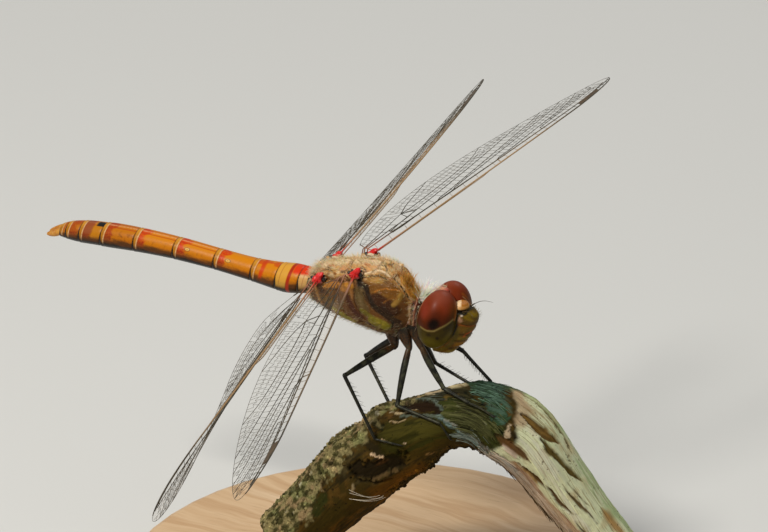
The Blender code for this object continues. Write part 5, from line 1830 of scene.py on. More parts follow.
def makeLeg(name, leg, finish):
    coxa, hip, knee = (bodyFrame @ Vector(point) for point in leg[:3])
    lift = legSizes["clear"]
    foot = perchPoint(*leg[3], lift)
    toe = perchPoint(*leg[4], lift * 0.75)
    arch = perchPoint((leg[3][0] + leg[4][0]) / 2, (leg[3][1] + leg[4][1]) / 2, lift * 0.85)
    thick = legSizes
    thighWay = (knee - hip).normalized()
    shinWay = (foot - knee).normalized()
    bow = thighWay.cross(shinWay)
    bow = bow.normalized() if bow.length > 0.05 else Vector((0, 0, 1))
    outer = (thighWay - shinWay).normalized()
    inside = bodyFrame @ Vector((leg[0][0] - 0.5, leg[0][1] * 0.7, leg[0][2] + 1.5))
    thigh, shin = thick["femur"], thick["tibia"]
    lines = [
        layTube([inside, coxa + (inside - coxa) * 0.35, hip, hip + thighWay * 0.3],
                [thick["coxa"] * 1.75, thick["coxa"] * 1.35, thigh * 1.15, thigh * 0.85], 14),
        layTube([hip + thighWay * 0.12, hip.lerp(knee, 0.1), hip.lerp(knee, 0.35) + outer * 0.06,
                 hip.lerp(knee, 0.7) + outer * 0.04, hip.lerp(knee, 0.93), knee, knee + thighWay * 0.1],
                [thigh * 0.8, thigh, thigh * 1.12, thigh * 0.95, thick["knee"] * 0.95, thick["knee"] * 1.05,
                 thick["knee"] * 0.4], 26),
        layTube([knee - shinWay * 0.1, knee + shinWay * 0.25,
                 *(knee.lerp(foot, share) for share in (0.3, 0.65, 0.95)), foot],
                [shin, shin * 1.15, shin, shin * 0.95, shin * 0.95, shin * 0.7], 24),
    ]
    # three joints of the foot and its claws
    small = thick["tarsus"]
    bones = ((foot, foot.lerp(arch, 0.45)), (foot.lerp(arch, 0.42), arch.lerp(toe, 0.1)), (arch, toe))
    for start, end in bones:
        lines.append(layTube([start, start.lerp(end, 0.5), end], [small * 0.8, small, small * 0.9], 5))
    away = (toe - arch).normalized()
    for turn in (-1, 1):
        hook = [toe, toe + away * 0.28 + bow * (0.12 * turn),
                toe + away * 0.42 + bow * (0.16 * turn) - outer * 0.18]
        lines.append(layTube(hook, [0.07, 0.05, 0.012], 5))
    # bristles in two rows under thigh and shin
    fringes = ((hip, knee, 13, 0.42, (-0.6, 0.6)), (knee, foot, 12, 0.62, (-0.7, 0.7, 0.0)))
    for start, end, count, long, rows in fringes:
        way = (end - start).normalized()
        inner = (-outer - way * (-outer).dot(way)).normalized()
        across = way.cross(inner)
        for row in rows:
            for step in range(count):
                share = 0.1 + 0.86 * (step + random.uniform(-0.2, 0.2)) / count
                root = start.lerp(end, share)
                aim = (inner * cos(row * 1.3) + across * sin(row * 1.3)
                       + way * random.uniform(0.45, 0.75)).normalized()
                size = long * random.uniform(0.65, 1.1) * (1 - 0.3 * share)
                lines.append([(root, thick["bristle"] * 1.1),
                              (root + aim * size * 0.5, thick["bristle"] * 0.8),
                              (root + aim * size + way * 0.05, 0.005)])
    piece = asMesh(strands(f"limb_{name}", lines, 3))
    spans = ((coxa, hip), (hip, knee), (knee, foot), (foot, toe))

    def streak(co):
        # paler along the face of each long segment that points up and toward the camera: the leg's own pale
        # stripe, brightened there as a painted highlight
        best = None
        for start, end in spans:
            span = end - start
            share = min(max((co - start).dot(span) / span.length_squared, 0.0), 1.0)
            off = co - start - span * share
            if best is None or off.length < best.length:
                best = off
        if best.length > 0.45 or best.length < 1e-4:
            return 0.0
        best.normalize()
        return ease(best.dot(perchNear * 0.75 + Vector((0, 0, 0.65))), 0.72, 0.98)

    addValues(piece, "streak", streak)
    addValues(piece, "hip", lambda co: fade((co - coxa).length, 1.1, 1.7))
    settle(piece, worldFrame, finish, [f"leg_{name}"], 60)


legFinish = makeLegFinish()
for legName, legPoints in legs.items():
    makeLeg(legName, legPoints, legFinish)
print("legs made")

# perch skin: worked out on a straight stem by share along it and angle round it, then bent into place

perchLook = {
    "stretch": 42.0, "rings": 46, "sides": 24, "levels": 3, "crumbs": 1150, "topCrumbs": 900,
    # how far round from the top the crumbly lichen reaches, by share
    "lichenEdge": ((0.0, 84), (0.08, 74), (0.13, 60), (0.17, 50), (0.2, 52), (0.24, 42), (0.28, 30),
                   (0.31, 22), (0.34, 10),
                   (0.38, 2), (0.42, -12), (0.46, -30)),
    # where the pale weathered wood starts, by angle
    "paleStart": ((-180, 0.6), (-90, 0.57), (-20, 0.565), (0, 0.575), (30, 0.585), (60, 0.6), (80, 0.612),
                  (98, 0.62),
                  (108, 0.585), (125, 0.57), (180, 0.62)),
    "pale": (0.62, 0.64, 0.4), "paleGreen": (0.42, 0.5, 0.24), "warmGrey": (0.52, 0.42, 0.22),
    "bark": (0.042, 0.026, 0.003), "barkWarm": (0.08, 0.042, 0.006), "lichen": (0.3, 0.245, 0.105),
    # the lichen's pale tip colour also carries a painted highlight
    "lichenGreen": (0.26, 0.25, 0.095), "lichenWarm": (0.4, 0.26, 0.13), "lichenTipAndHighlight": (0.76, 0.68, 0.48),
    # dark underside colour: dark torn wood deepened with painted shade
    "under": (0.026, 0.016, 0.003),
    # how fast the grain winds round the bend, in degrees for each share of the length
    "windFrom": 0.4, "windTo": 0.6, "wind": 380.0, "windFade": 0.6, "windLeast": 280.0,
}

# points (share, angle), half width, softness, colour, strength, lift and kind: a crack comes to a point
# at both ends, a streak follows the grain and a torn mark has ragged edges
perchMarks = (
    # left arm: hollow with ragged rims, smooth orange and olive bark
    (((0.245, 60), (0.26, 80), (0.29, 100)), 1.05, 0.35, (0.06, 0.044, 0.014), 0.85, -0.06, "streak"),
    (((0.25, 62), (0.27, 78), (0.3, 88), (0.322, 90)), 0.95, 0.22, (0.012, 0.007, 0.001), 0.95, -0.34,
     "torn"),
    (((0.285, 34), (0.3, 52), (0.305, 70)), 0.42, 0.2, (0.018, 0.012, 0.002), 0.92, -0.22, "torn"),
    (((0.27, 70), (0.3, 78)), 0.3, 0.2, (0.075, 0.03, 0.006), 0.85, 0.1, "streak"),
    (((0.262, 92), (0.285, 98), (0.31, 104)), 0.14, 0.08, (0.1, 0.06, 0.02), 0.9, 0.14, "torn"),
    (((0.21, 84), (0.225, 78)), 0.1, 0.06, (0.3, 0.22, 0.11), 0.85, 0.12, "plain"),
    (((0.235, 62), (0.242, 82), (0.262, 100), (0.29, 112)), 0.12, 0.1, (0.01, 0.006, 0.001), 0.9, -0.2,
     "torn"),
    (((0.19, 100), (0.24, 112), (0.3, 122), (0.345, 128)), 0.7, 0.3,
     (0.092, 0.038, 0.002), 0.9, 0.05, "plain"),
    (((0.22, 114), (0.28, 124), (0.33, 130)), 0.34, 0.22, (0.15, 0.058, 0.004), 0.85, 0.0, "streak"),
    (((0.12, 118), (0.2, 132), (0.27, 140)), 0.6, 0.3, (0.115, 0.05, 0.003), 0.8, 0.0, "streak"),
    (((0.1, 92), (0.17, 98), (0.21, 104)), 0.9, 0.5, (0.036, 0.024, 0.002), 0.85, 0.0, "plain"),
    (((0.125, 70), (0.155, 62)), 0.6, 0.3, (0.026, 0.03, 0.004), 0.85, -0.15, "torn"),
    (((0.345, 60), (0.38, 75), (0.43, 80)), 1.6, 0.4, (0.026, 0.023, 0.001), 0.95, 0.05, "plain"),
    (((0.345, 52), (0.38, 60), (0.43, 66)), 1.0, 0.4, (0.064, 0.052, 0.006), 0.75, 0.0, "streak"),
    (((0.35, 92), (0.39, 104), (0.43, 110)), 0.9, 0.4, (0.052, 0.03, 0.002), 0.85, 0.0, "streak"),
    (((0.355, 26), (0.41, 28), (0.44, 36)), 0.5, 0.15, (0.12, 0.06, 0.012), 0.85, 0.03, "streak"),
    (((0.338, 10), (0.356, 15), (0.375, 18)), 0.13, 0.05, (0.6, 0.52, 0.33), 0.9, 0.09, "streak"),
    (((0.362, 20), (0.385, 24), (0.405, 27)), 0.1, 0.05, (0.52, 0.4, 0.22), 0.85, 0.08, "torn"),
    (((0.345, 30), (0.36, 35), (0.372, 37)), 0.09, 0.04, (0.5, 0.36, 0.19), 0.8, 0.08, "torn"),
    (((0.287, 58), (0.294, 66), (0.304, 72)), 0.13, 0.07, (0.7, 0.48, 0.28), 0.95, 0.16, "torn"),
    (((0.318, 50), (0.326, 58)), 0.09, 0.05, (0.66, 0.46, 0.26), 0.9, 0.12, "torn"),
    (((0.34, 66), (0.352, 72)), 0.07, 0.05, (0.62, 0.44, 0.28), 0.9, 0.1, "streak"),
    (((0.38, 110), (0.405, 122)), 0.12, 0.08, (0.3, 0.16, 0.05), 0.8, 0.05, "streak"),
    (((0.32, 20), (0.33, 34)), 0.22, 0.1, (0.012, 0.014, 0.004), 0.95, -0.3, "torn"),
    (((0.262, 6), (0.268, 14)), 0.24, 0.1, (0.012, 0.016, 0.004), 0.95, -0.35, "torn"),
    (((0.315, -2), (0.33, 8)), 0.32, 0.15, (0.72, 0.64, 0.46), 0.95, 0.15, "torn"),
    (((0.3, 8), (0.31, 18)), 0.24, 0.12, (0.58, 0.46, 0.28), 0.9, 0.08, "torn"),
    # bend: olive fibrous wood, a dark green patch beyond a dark line, a hollow lens and a blue grey rim; the
    # dark green patch is the dragonfly's cast shadow painted onto the stem
    (((0.395, -10), (0.44, 4), (0.47, 22)), 1.1, 0.3, (0.034, 0.03, 0.01), 0.93, 0.05, "plain"),
    (((0.455, 48), (0.49, 64), (0.53, 86), (0.57, 98)), 1.2, 0.3, (0.034, 0.04, 0.006), 0.95, -0.05, "plain"),
    (((0.455, 52), (0.5, 70), (0.555, 94)), 0.9, 0.3, (0.125, 0.125, 0.04), 0.75, 0.05, "streak"),
    (((0.48, -40), (0.54, -30), (0.57, -25)), 1.2, 0.4, (0.045, 0.075, 0.03), 0.9, 0.0, "plain"),
    # painted shadow of the dragonfly's head and thorax, dark green, with paler painted streaks along the
    # grain inside it
    (((0.508, -8), (0.535, 26), (0.562, 60)), 0.98, 0.14, (0.03, 0.062, 0.028), 0.97, 0.08, "torn"),
    (((0.515, -4), (0.54, 26), (0.562, 58)), 0.8, 0.25, (0.105, 0.185, 0.125), 0.8, 0.06, "streak"),
    (((0.488, 20), (0.52, 46), (0.545, 74), (0.6, 88)), 0.13, 0.09, (0.006, 0.01, 0.003), 0.9, -0.12, "torn"),
    (((0.47, 30), (0.5, 56), (0.53, 76)), 0.06, 0.05, (0.01, 0.012, 0.004), 0.85, -0.06, "plain"),
    (((0.475, 44), (0.5, 62), (0.535, 80)), 0.05, 0.04, (0.21, 0.21, 0.12), 0.75, 0.04, "plain"),
    (((0.435, 50), (0.455, 80), (0.475, 106), (0.51, 122), (0.57, 134)), 0.17, 0.07, (0.15, 0.215, 0.195),
     0.95, 0.1, "plain"),
    (((0.447, 64), (0.47, 92), (0.505, 112), (0.56, 126)), 0.07, 0.05,
     (0.34, 0.33, 0.26), 0.9, 0.06, "plain"),
    (((0.383, 10), (0.41, 20), (0.437, 40)), 0.62, 0.14, (0.016, 0.007, 0.002), 0.96, -0.22, "torn"),
    (((0.392, -2), (0.42, 8), (0.447, 42)), 0.15, 0.09, (0.105, 0.13, 0.1), 0.88, 0.1, "torn"),
    (((0.372, 26), (0.405, 44), (0.44, 56)), 0.15, 0.08, (0.1, 0.12, 0.085), 0.88, 0.08, "torn"),
    (((0.585, 70), (0.592, 84)), 0.3, 0.14, (0.5, 0.38, 0.24), 0.85, 0.04, "torn"),
    (((0.425, -8), (0.445, -2)), 0.34, 0.14, (0.5, 0.39, 0.24), 0.9, 0.16, "torn"),
    (((0.455, -4), (0.485, 2)), 0.3, 0.14, (0.52, 0.43, 0.24), 0.9, 0.2, "torn"),
    (((0.455, 22), (0.475, 26)), 0.22, 0.1, (0.16, 0.1, 0.02), 0.85, 0.05, "torn"),
    (((0.56, 92), (0.6, 96), (0.635, 97), (0.668, 93)), 0.44, 0.1,
     (0.115, 0.052, 0.014), 0.97, -0.22, "crack"),
    (((0.575, 106), (0.6, 107), (0.64, 106)), 0.2, 0.1, (0.66, 0.48, 0.36), 0.85, 0.08, "streak"),
    (((0.6, 20), (0.66, 24), (0.7, 30)), 0.55, 0.25, (0.34, 0.22, 0.09), 0.7, 0.0, "streak"),
    (((0.63, 70), (0.72, 84), (0.82, 88)), 0.8, 0.35, (0.66, 0.64, 0.5), 0.6, 0.0, "streak"),
    (((0.72, 20), (0.82, 20), (0.92, 18)), 0.8, 0.35, (0.34, 0.43, 0.2), 0.7, 0.0, "streak"),
    (((0.66, 118), (0.76, 116), (0.88, 114)), 0.3, 0.16, (0.3, 0.17, 0.09), 0.8, -0.04, "streak"),
    # right arm: warm speckled collar, then long cracks that open and close along the grain
    (((0.585, -5), (0.598, 30), (0.605, 52)), 0.52, 0.3, (0.44, 0.31, 0.18), 0.85, 0.0, "plain"),
    (((0.595, 42), (0.632, 46), (0.655, 42), (0.682, 30)), 0.44, 0.06, (0.12, 0.06, 0.008), 0.97, -0.28,
     "crack"),
    (((0.605, 44), (0.64, 45), (0.672, 35)), 0.12, 0.06, (0.24, 0.135, 0.03), 0.8, 0.05, "streak"),
    (((0.648, 56), (0.672, 56), (0.715, 48), (0.755, 38)), 0.27, 0.06, (0.1, 0.062, 0.008), 0.97, -0.26,
     "crack"),
    (((0.58, -10), (0.62, 0), (0.662, 8), (0.708, 18)), 0.24, 0.07, (0.13, 0.07, 0.01), 0.95, -0.22, "crack"),
    (((0.6, 14), (0.64, 22), (0.672, 26)), 0.09, 0.06, (0.3, 0.17, 0.05), 0.85, -0.05, "crack"),
    (((0.592, 28), (0.62, 32), (0.66, 36)), 0.06, 0.04, (0.2, 0.11, 0.03), 0.8, -0.05, "crack"),
    (((0.655, 112), (0.69, 107), (0.722, 102)), 0.25, 0.06, (0.11, 0.05, 0.01), 0.97, -0.24, "crack"),
    (((0.65, 119), (0.685, 113), (0.715, 110)), 0.08, 0.05, (0.42, 0.24, 0.07), 0.85, 0.05, "crack"),
    (((0.715, 97), (0.745, 100), (0.79, 94)), 0.19, 0.06, (0.095, 0.045, 0.014), 0.97, -0.22, "crack"),
    (((0.725, 73), (0.775, 73), (0.835, 68)), 0.085, 0.04, (0.09, 0.05, 0.012), 0.95, -0.14, "crack"),
    (((0.732, 62), (0.765, 60), (0.8, 56)), 0.07, 0.04, (0.11, 0.062, 0.016), 0.92, -0.12, "crack"),
    (((0.575, 120), (0.61, 128), (0.645, 126)), 0.12, 0.06, (0.12, 0.06, 0.02), 0.95, -0.16, "crack"),
    (((0.82, 38), (0.86, 38), (0.93, 36)), 0.42, 0.25, (0.38, 0.2, 0.055), 0.9, -0.05, "crack"),
    (((0.8, 100), (0.86, 104), (0.95, 102)), 0.14, 0.07, (0.09, 0.05, 0.016), 0.9, -0.15, "crack"),
    (((0.7, 30), (0.703, 38), (0.708, 34)), 0.04, 0.03, (0.1, 0.06, 0.02), 0.8, -0.05, "plain"),
    (((0.66, 130), (0.73, 128), (0.82, 126), (0.95, 124)), 0.62, 0.3, (0.42, 0.26, 0.17), 0.8, 0.0, "plain"),
    (((0.66, -70), (0.74, -60), (0.82, -64)), 0.25, 0.08, (0.11, 0.06, 0.014), 0.95, -0.22, "crack"),
    (((0.7, -110), (0.8, -100), (0.9, -104)), 0.2, 0.08, (0.1, 0.055, 0.014), 0.95, -0.2, "crack"),
)

# swellings and hollows of the stem itself: share, angle, reach in millimetres, height
perchLumps = (
    (0.325, 0, 1.5, 0.5), (0.345, -14, 1.2, 0.25), (0.55, 140, 2.6, 0.42), (0.5, 150, 2.0, 0.25),
    (0.2, 8, 1.6, 0.2),
    (0.28, 125, 2.0, -0.1), (0.15, 20, 1.8, 0.18), (0.36, 150, 1.6, 0.25), (0.27, -8, 0.9, -0.25),
    (0.42, 160, 1.5, -0.3),
    (0.44, 0, 1.6, -0.18), (0.495, 0, 1.3, 0.22), (0.24, -30, 1.4, 0.25), (0.9, 60, 2.4, 0.12),
    (0.7, 150, 2.2, -0.15),
)


def degreesOf(length, radius):
    return length / radius * 180 / pi


def windRate(angle):
    return max(perchLook["wind"] - perchLook["windFade"] * abs(angle), perchLook["windLeast"])


def windOf(share, angle):
    # the angle that a fibre through this place has once it is past the bend
    return angle + (perchLook["windTo"]
                    - min(max(share, perchLook["windFrom"]), perchLook["windTo"])) * windRate(angle)


def nearWay(points, share, angle, radius):
    # distance in millimetres to a mark's line, and how far along the line the nearest point is
    best, where = 99.0, 0.0
    total = len(points) - 1
    for index, ((s0, a0), (s1, a1)) in enumerate(zip(points, points[1:])):
        along, around = (s1 - s0) * perchLook["stretch"], radians(a1 - a0) * radius
        toward = (share - s0) * perchLook["stretch"]
        beside = radians(angle - a0) * radius
        size = along * along + around * around
        t = min(max((toward * along + beside * around) / size, 0.0), 1.0)
        off = sqrt((toward - along * t) ** 2 + (beside - around * t) ** 2)
        if off < best:
            best, where = off, (index + t) / total
    return best, where


def markReach(mark):
    # box round a mark, so that far places are passed over quickly
    points, width, soft = mark[:3]
    along = (width + soft) / perchLook["stretch"]
    around = (width + soft) * 28
    shares, angles = zip(*points)
    return min(shares) - along, max(shares) + along, min(angles) - around, max(angles) + around


perchReaches = [markReach(mark) for mark in perchMarks]


def perchSkinAt(share, angle):
    # colour, height above the plain stem, strength of the grain and of the crumbs
    radius = perchAxis(share)[1]
    along = share * perchLook["stretch"]
    near = Vector((along, cos(radians(angle)) * radius, sin(radians(angle)) * radius))
    wound = radians(windOf(share, angle))
    grainPlace = Vector((along * 0.26, cos(wound) * radius * 2.7, sin(wound) * radius * 2.7))
    grain = noise.fractal(grainPlace, 1.0, 2.0, 3)
    broad = noise.noise(near * 0.45)
    rough = noise.fractal(near * 1.6, 0.8, 2.0, 4)
    share += (0.3 * noise.noise(near * 0.9) + 0.16 * noise.noise(near * 3.5)) / perchLook["stretch"]
    angle += degreesOf(0.16 * noise.noise(near * 0.8 + Vector((7, 3, 1))) + 0.14 * grain, radius)

    edge = readTable(perchLook["lichenEdge"], share)
    lichen = fade(angle + 14 * rough + 8 * broad, edge - 7, edge + 7)
    lichen *= ease(angle + 20 * rough, -150, -120)
    paleFrom = readTable(perchLook["paleStart"], angle)
    pale = ease(share, paleFrom - 0.006, paleFrom + 0.01)

    colour = stepColour(perchLook["bark"], perchLook["barkWarm"], ease(rough, -0.2, 0.5))
    colour = stepColour(colour, (0.01, 0.008, 0.002),
                        ease(noise.fractal(grainPlace * 1.9, 1.0, 2.0, 2), 0.1, 0.34) * 0.7)
    wood = stepColour(perchLook["pale"], perchLook["paleGreen"],
                      ease(broad - 0.012 * max(angle - 20, -30), -0.4, 0.5))
    wood = stepColour(wood, perchLook["warmGrey"],
                      ease(noise.noise(near * 0.8 + Vector((5, 9, 2))), 0.1, 0.5) * 0.6)
    colour = stepColour(colour, wood, pale)
    # darker underneath: dark torn wood on the underside, deepened with painted shade under the stem
    underside = ease(abs(angle), 128 + 10 * broad, 150 + 10 * broad)
    colour = stepColour(colour, perchLook["under"], underside * (0.45 + 0.5 * ease(rough, -0.2, 0.3)))
    lift = 0.05 * broad + 0.03 * rough + 0.035 * grain * (1 - lichen)
    crumbs = max(0.0, noise.turbulence(near * 1.5, 4, False) - 0.55)
    lift += lichen * (0.34 * crumbs - 0.05 + 0.1 * noise.noise(near * 3.8))

    for mark, reach in zip(perchMarks, perchReaches):
        if not (reach[0] < share < reach[1] and reach[2] < angle < reach[3]):
            continue
        points, width, soft, shade, strength, rise, kind = mark
        off, where = nearWay(points, share, angle, radius)
        if kind == "crack":
            width *= max(sin(pi * min(max(where, 0.02), 0.98)), 0.0) ** 0.75
        amount = fade(off, width - soft, width + soft)
        if kind == "streak":
            amount *= ease(grain + 0.25 * noise.noise(grainPlace * 2.7), -0.12, 0.16)
        elif kind == "torn":
            # ragged edge
            edge = off + 0.45 * width * noise.fractal(near * 2.3, 0.8, 2.0, 3)
            amount = fade(edge, width * 0.75 - soft * 0.4, width * 0.75 + soft * 0.4)
        elif kind == "crack" and (where <= 0.0 or where >= 1.0):
            amount *= 0.3
        if amount > 0:
            colour = stepColour(colour, shade, amount * strength)
            lift += rise * amount
            if rise < -0.1 and kind == "crack":
                # lips of the crack stand up a little
                lift += 0.05 * hump(off, width + soft, 0.1)

    crust = stepColour(perchLook["lichen"], perchLook["lichenGreen"],
                       ease(noise.noise(near * 0.9 + Vector((3, 1, 4))), 0.0, 0.4))
    crust = stepColour(crust, perchLook["lichenWarm"],
                       ease(noise.noise(near * 1.3 + Vector((8, 2, 6))), 0.12, 0.4) * 0.7)
    # paler on the raised crumbs: the lichen's own pale tips, brightened with a painted highlight on their
    # tops
    crust = stepColour(crust, perchLook["lichenTipAndHighlight"], ease(crumbs, 0.15, 0.5) * 0.75)
    crust = stepColour(crust, (0.034, 0.032, 0.006),
                       ease(0.05 - crumbs, 0.0, 0.05) * ease(rough, -0.15, 0.2) * 0.85)
    colour = stepColour(colour, crust, lichen * (1 - 0.9 * pale))
    for s, a, reach, height in perchLumps:
        if abs(share - s) * perchLook["stretch"] < reach * 2.5:
            off = sqrt(((share - s) * perchLook["stretch"]) ** 2 + (radians(angle - a) * radius) ** 2)
            lift += height * hump(off, 0.0, reach)
    # torn underside
    lift += underside * 0.16 * noise.turbulence(near * 1.1, 3, False) * (1 - pale * 0.4)
    fibrous = hump(share, 0.51, 0.075) * (1 - lichen)
    lift += 0.1 * fibrous * grain
    streak = 1 - 0.55 * fibrous * ease(grain, -0.1, 0.25)
    colour = tuple(channel * streak for channel in colour)
    return colour, lift, max(fibrous, pale * 0.5 + 0.25 * (1 - lichen)), lichen


def makePerchFinish():
    look = Finish("weatheredStem", {"Specular IOR Level": 0.08})
    here = look.place()
    paint = look.paint()
    grain, crumb = look.value("grain"), look.value("crumb")
    along, around = look.value("along"), look.value("around")
    laid = look.join(along * 0.35, around * 4.5, 0.0)
    fibres = look.noise(laid, 1.0, 5.0, 0.65)
    wide = look.noise(look.join(along * 0.12, around * 1.3, 3.0), 1.0, 4.0, 0.6)
    grit = look.noise(here, 5.0, 5.0, 0.7)
    grains = look.cells(here, 4.5)
    specks = look.noise(here, 3.2, 2.0, 0.5)
    lines = look.noise(look.join(along * 0.13, around * 8.0, 7.0), 1.0, 3.0, 0.55)
    skin = look.dye(paint, 0.4 + 1.15 * fibres)
    skin = look.mix(look.rise(fibres, 0.55, 0.66) * (0.3 + grain) * 0.55, skin,
                    look.dye(paint, (0.36, 0.24, 0.14)))
    skin = look.mix(look.rise(wide, 0.54, 0.66) * grain * 0.3, skin, look.dye(paint, (0.8, 0.7, 0.55)))
    skin = look.mix(look.rise(lines, 0.6, 0.66) * grain, skin, look.dye(paint, (0.3, 0.2, 0.1)))
    skin = look.mix(look.rise(0.0 - lines, -0.4, -0.34) * grain * 0.6, skin,
                    look.dye(paint, (1.55, 1.55, 1.45)))
    gritty = look.dye(paint, 0.38 + 1.4 * grit)
    skin = look.mix(crumb, skin, gritty)
    skin = look.mix(look.rise(grains, 0.55, 0.8) * crumb * 0.5, skin, look.dye(paint, (0.3, 0.28, 0.18)))
    skin = look.mix(look.rise(specks, 0.66, 0.7) * (1 - crumb) * 0.75, skin,
                    look.dye(paint, (0.22, 0.16, 0.12)))
    height = fibres * (0.3 + grain) + grit * (0.3 + crumb * 1.6) - grains * crumb
    normal = look.bump(height, 0.16, 0.9)
    return look.feed(baseColor=skin, roughness=0.55 + 0.35 * grit, normal=normal)


def makePerch():
    rings = []
    for step in range(perchLook["rings"] + 1):
        rings.append((blend(perch["trim"], 1 - perch["trim"], step / perchLook["rings"]), 0.0, 1.0, 1.0))
    piece = growRings("stemShell", rings, perchLook["sides"])
    addLevels(piece, perchLook["levels"])
    tints, grains, crumbs, alongs, arounds = [], [], [], [], []
    for vertex in piece.data.vertices:
        co = vertex.co
        share, angle = co.x, atan2(co.y, co.z) * 180 / pi
        colour, lift, grain, crumb = perchSkinAt(share, angle)
        inward = min(sqrt(co.y * co.y + co.z * co.z), 1.0)
        middle, radius = perchAxis(share)
        vertex.co = middle.lerp(perchPoint(share, angle, lift), inward if inward < 0.9 else 1.0)
        tints.append(colour)
        grains.append(grain)
        crumbs.append(crumb)
        alongs.append(share * perchLook["stretch"])
        arounds.append(radians(windOf(share, angle)) * radius)
    for name, values in (("grain", grains), ("crumb", crumbs), ("along", alongs), ("around", arounds)):
        storeValues(piece.data, name, values)
    storePaint(piece.data, tints)
    pickOnly(piece)
    bpy.ops.object.mode_set(mode="EDIT")
    bpy.ops.mesh.select_all(action="SELECT")
    bpy.ops.mesh.bisect(plane_co=(0, 0, perch["cutHeight"]), plane_no=(0, 0, 1), clear_inner=True,
                        use_fill=True)
    faceOutwards(piece)
    return piece


def makeCrumbs(finish):
    # loose lumps of lichen along the upper side of the left arm
    unpick()
    bpy.ops.mesh.primitive_ico_sphere_add(subdivisions=2, radius=1.0)
    seed = bpy.context.object
    corners = [vertex.co.copy() for vertex in seed.data.vertices]
    faces = [tuple(polygon.vertices) for polygon in seed.data.polygons]
    bpy.data.objects.remove(seed)
    places, sides, tints = [], [], []
    made = 0
    while made < perchLook["crumbs"]:
        torn = made >= perchLook["topCrumbs"]
        share = random.uniform(0.26, 0.44) if torn else random.uniform(0.03, 0.36)
        angle = random.gauss(140, 9) if torn else random.uniform(-115, 70)
        edge = readTable(perchLook["lichenEdge"], share)
        if not torn and angle > edge + random.gauss(-3, 6):
            continue
        colour, lift = perchSkinAt(share, angle)[:2]
        place = perchPoint(share, angle, lift - 0.03)
        if place.z < perch["cutHeight"] + 0.3:
            continue
        made += 1
        size = random.uniform(0.06, 0.17) * (1.5 if random.random() < 0.12 else 1.0)
        squash = Vector((random.uniform(0.7, 1.3), random.uniform(0.7, 1.3), random.uniform(0.5, 0.9)))
        turn = Euler((random.uniform(0, 6), random.uniform(0, 6), random.uniform(0, 6))).to_matrix()
        shift = Vector((random.uniform(0, 50), random.uniform(0, 50), 0))
        shade = random.uniform(0.5, 1.9)
        start = len(places)
        for corner in corners:
            bulge = 1 + 0.35 * noise.noise(corner * 1.8 + shift)
            local = Vector((corner.x * squash.x, corner.y * squash.y, corner.z * squash.z)) * (size * bulge)
            places.append(place + turn @ local)
            tints.append([min(channel * shade, 0.8) for channel in colour])
        sides += [tuple(start + index for index in face) for face in faces]
    mesh = bpy.data.meshes.new("lichenCrumbs")
    mesh.from_pydata(places, [], sides)
    storePaint(mesh, tints)
    for name, value in (("grain", 0.1), ("crumb", 0.8), ("along", 0.0), ("around", 0.0)):
        storeValues(mesh, name, [value] * len(places))
    settle(addObject("lichenCrumbs", mesh), worldFrame, finish, (), 80)


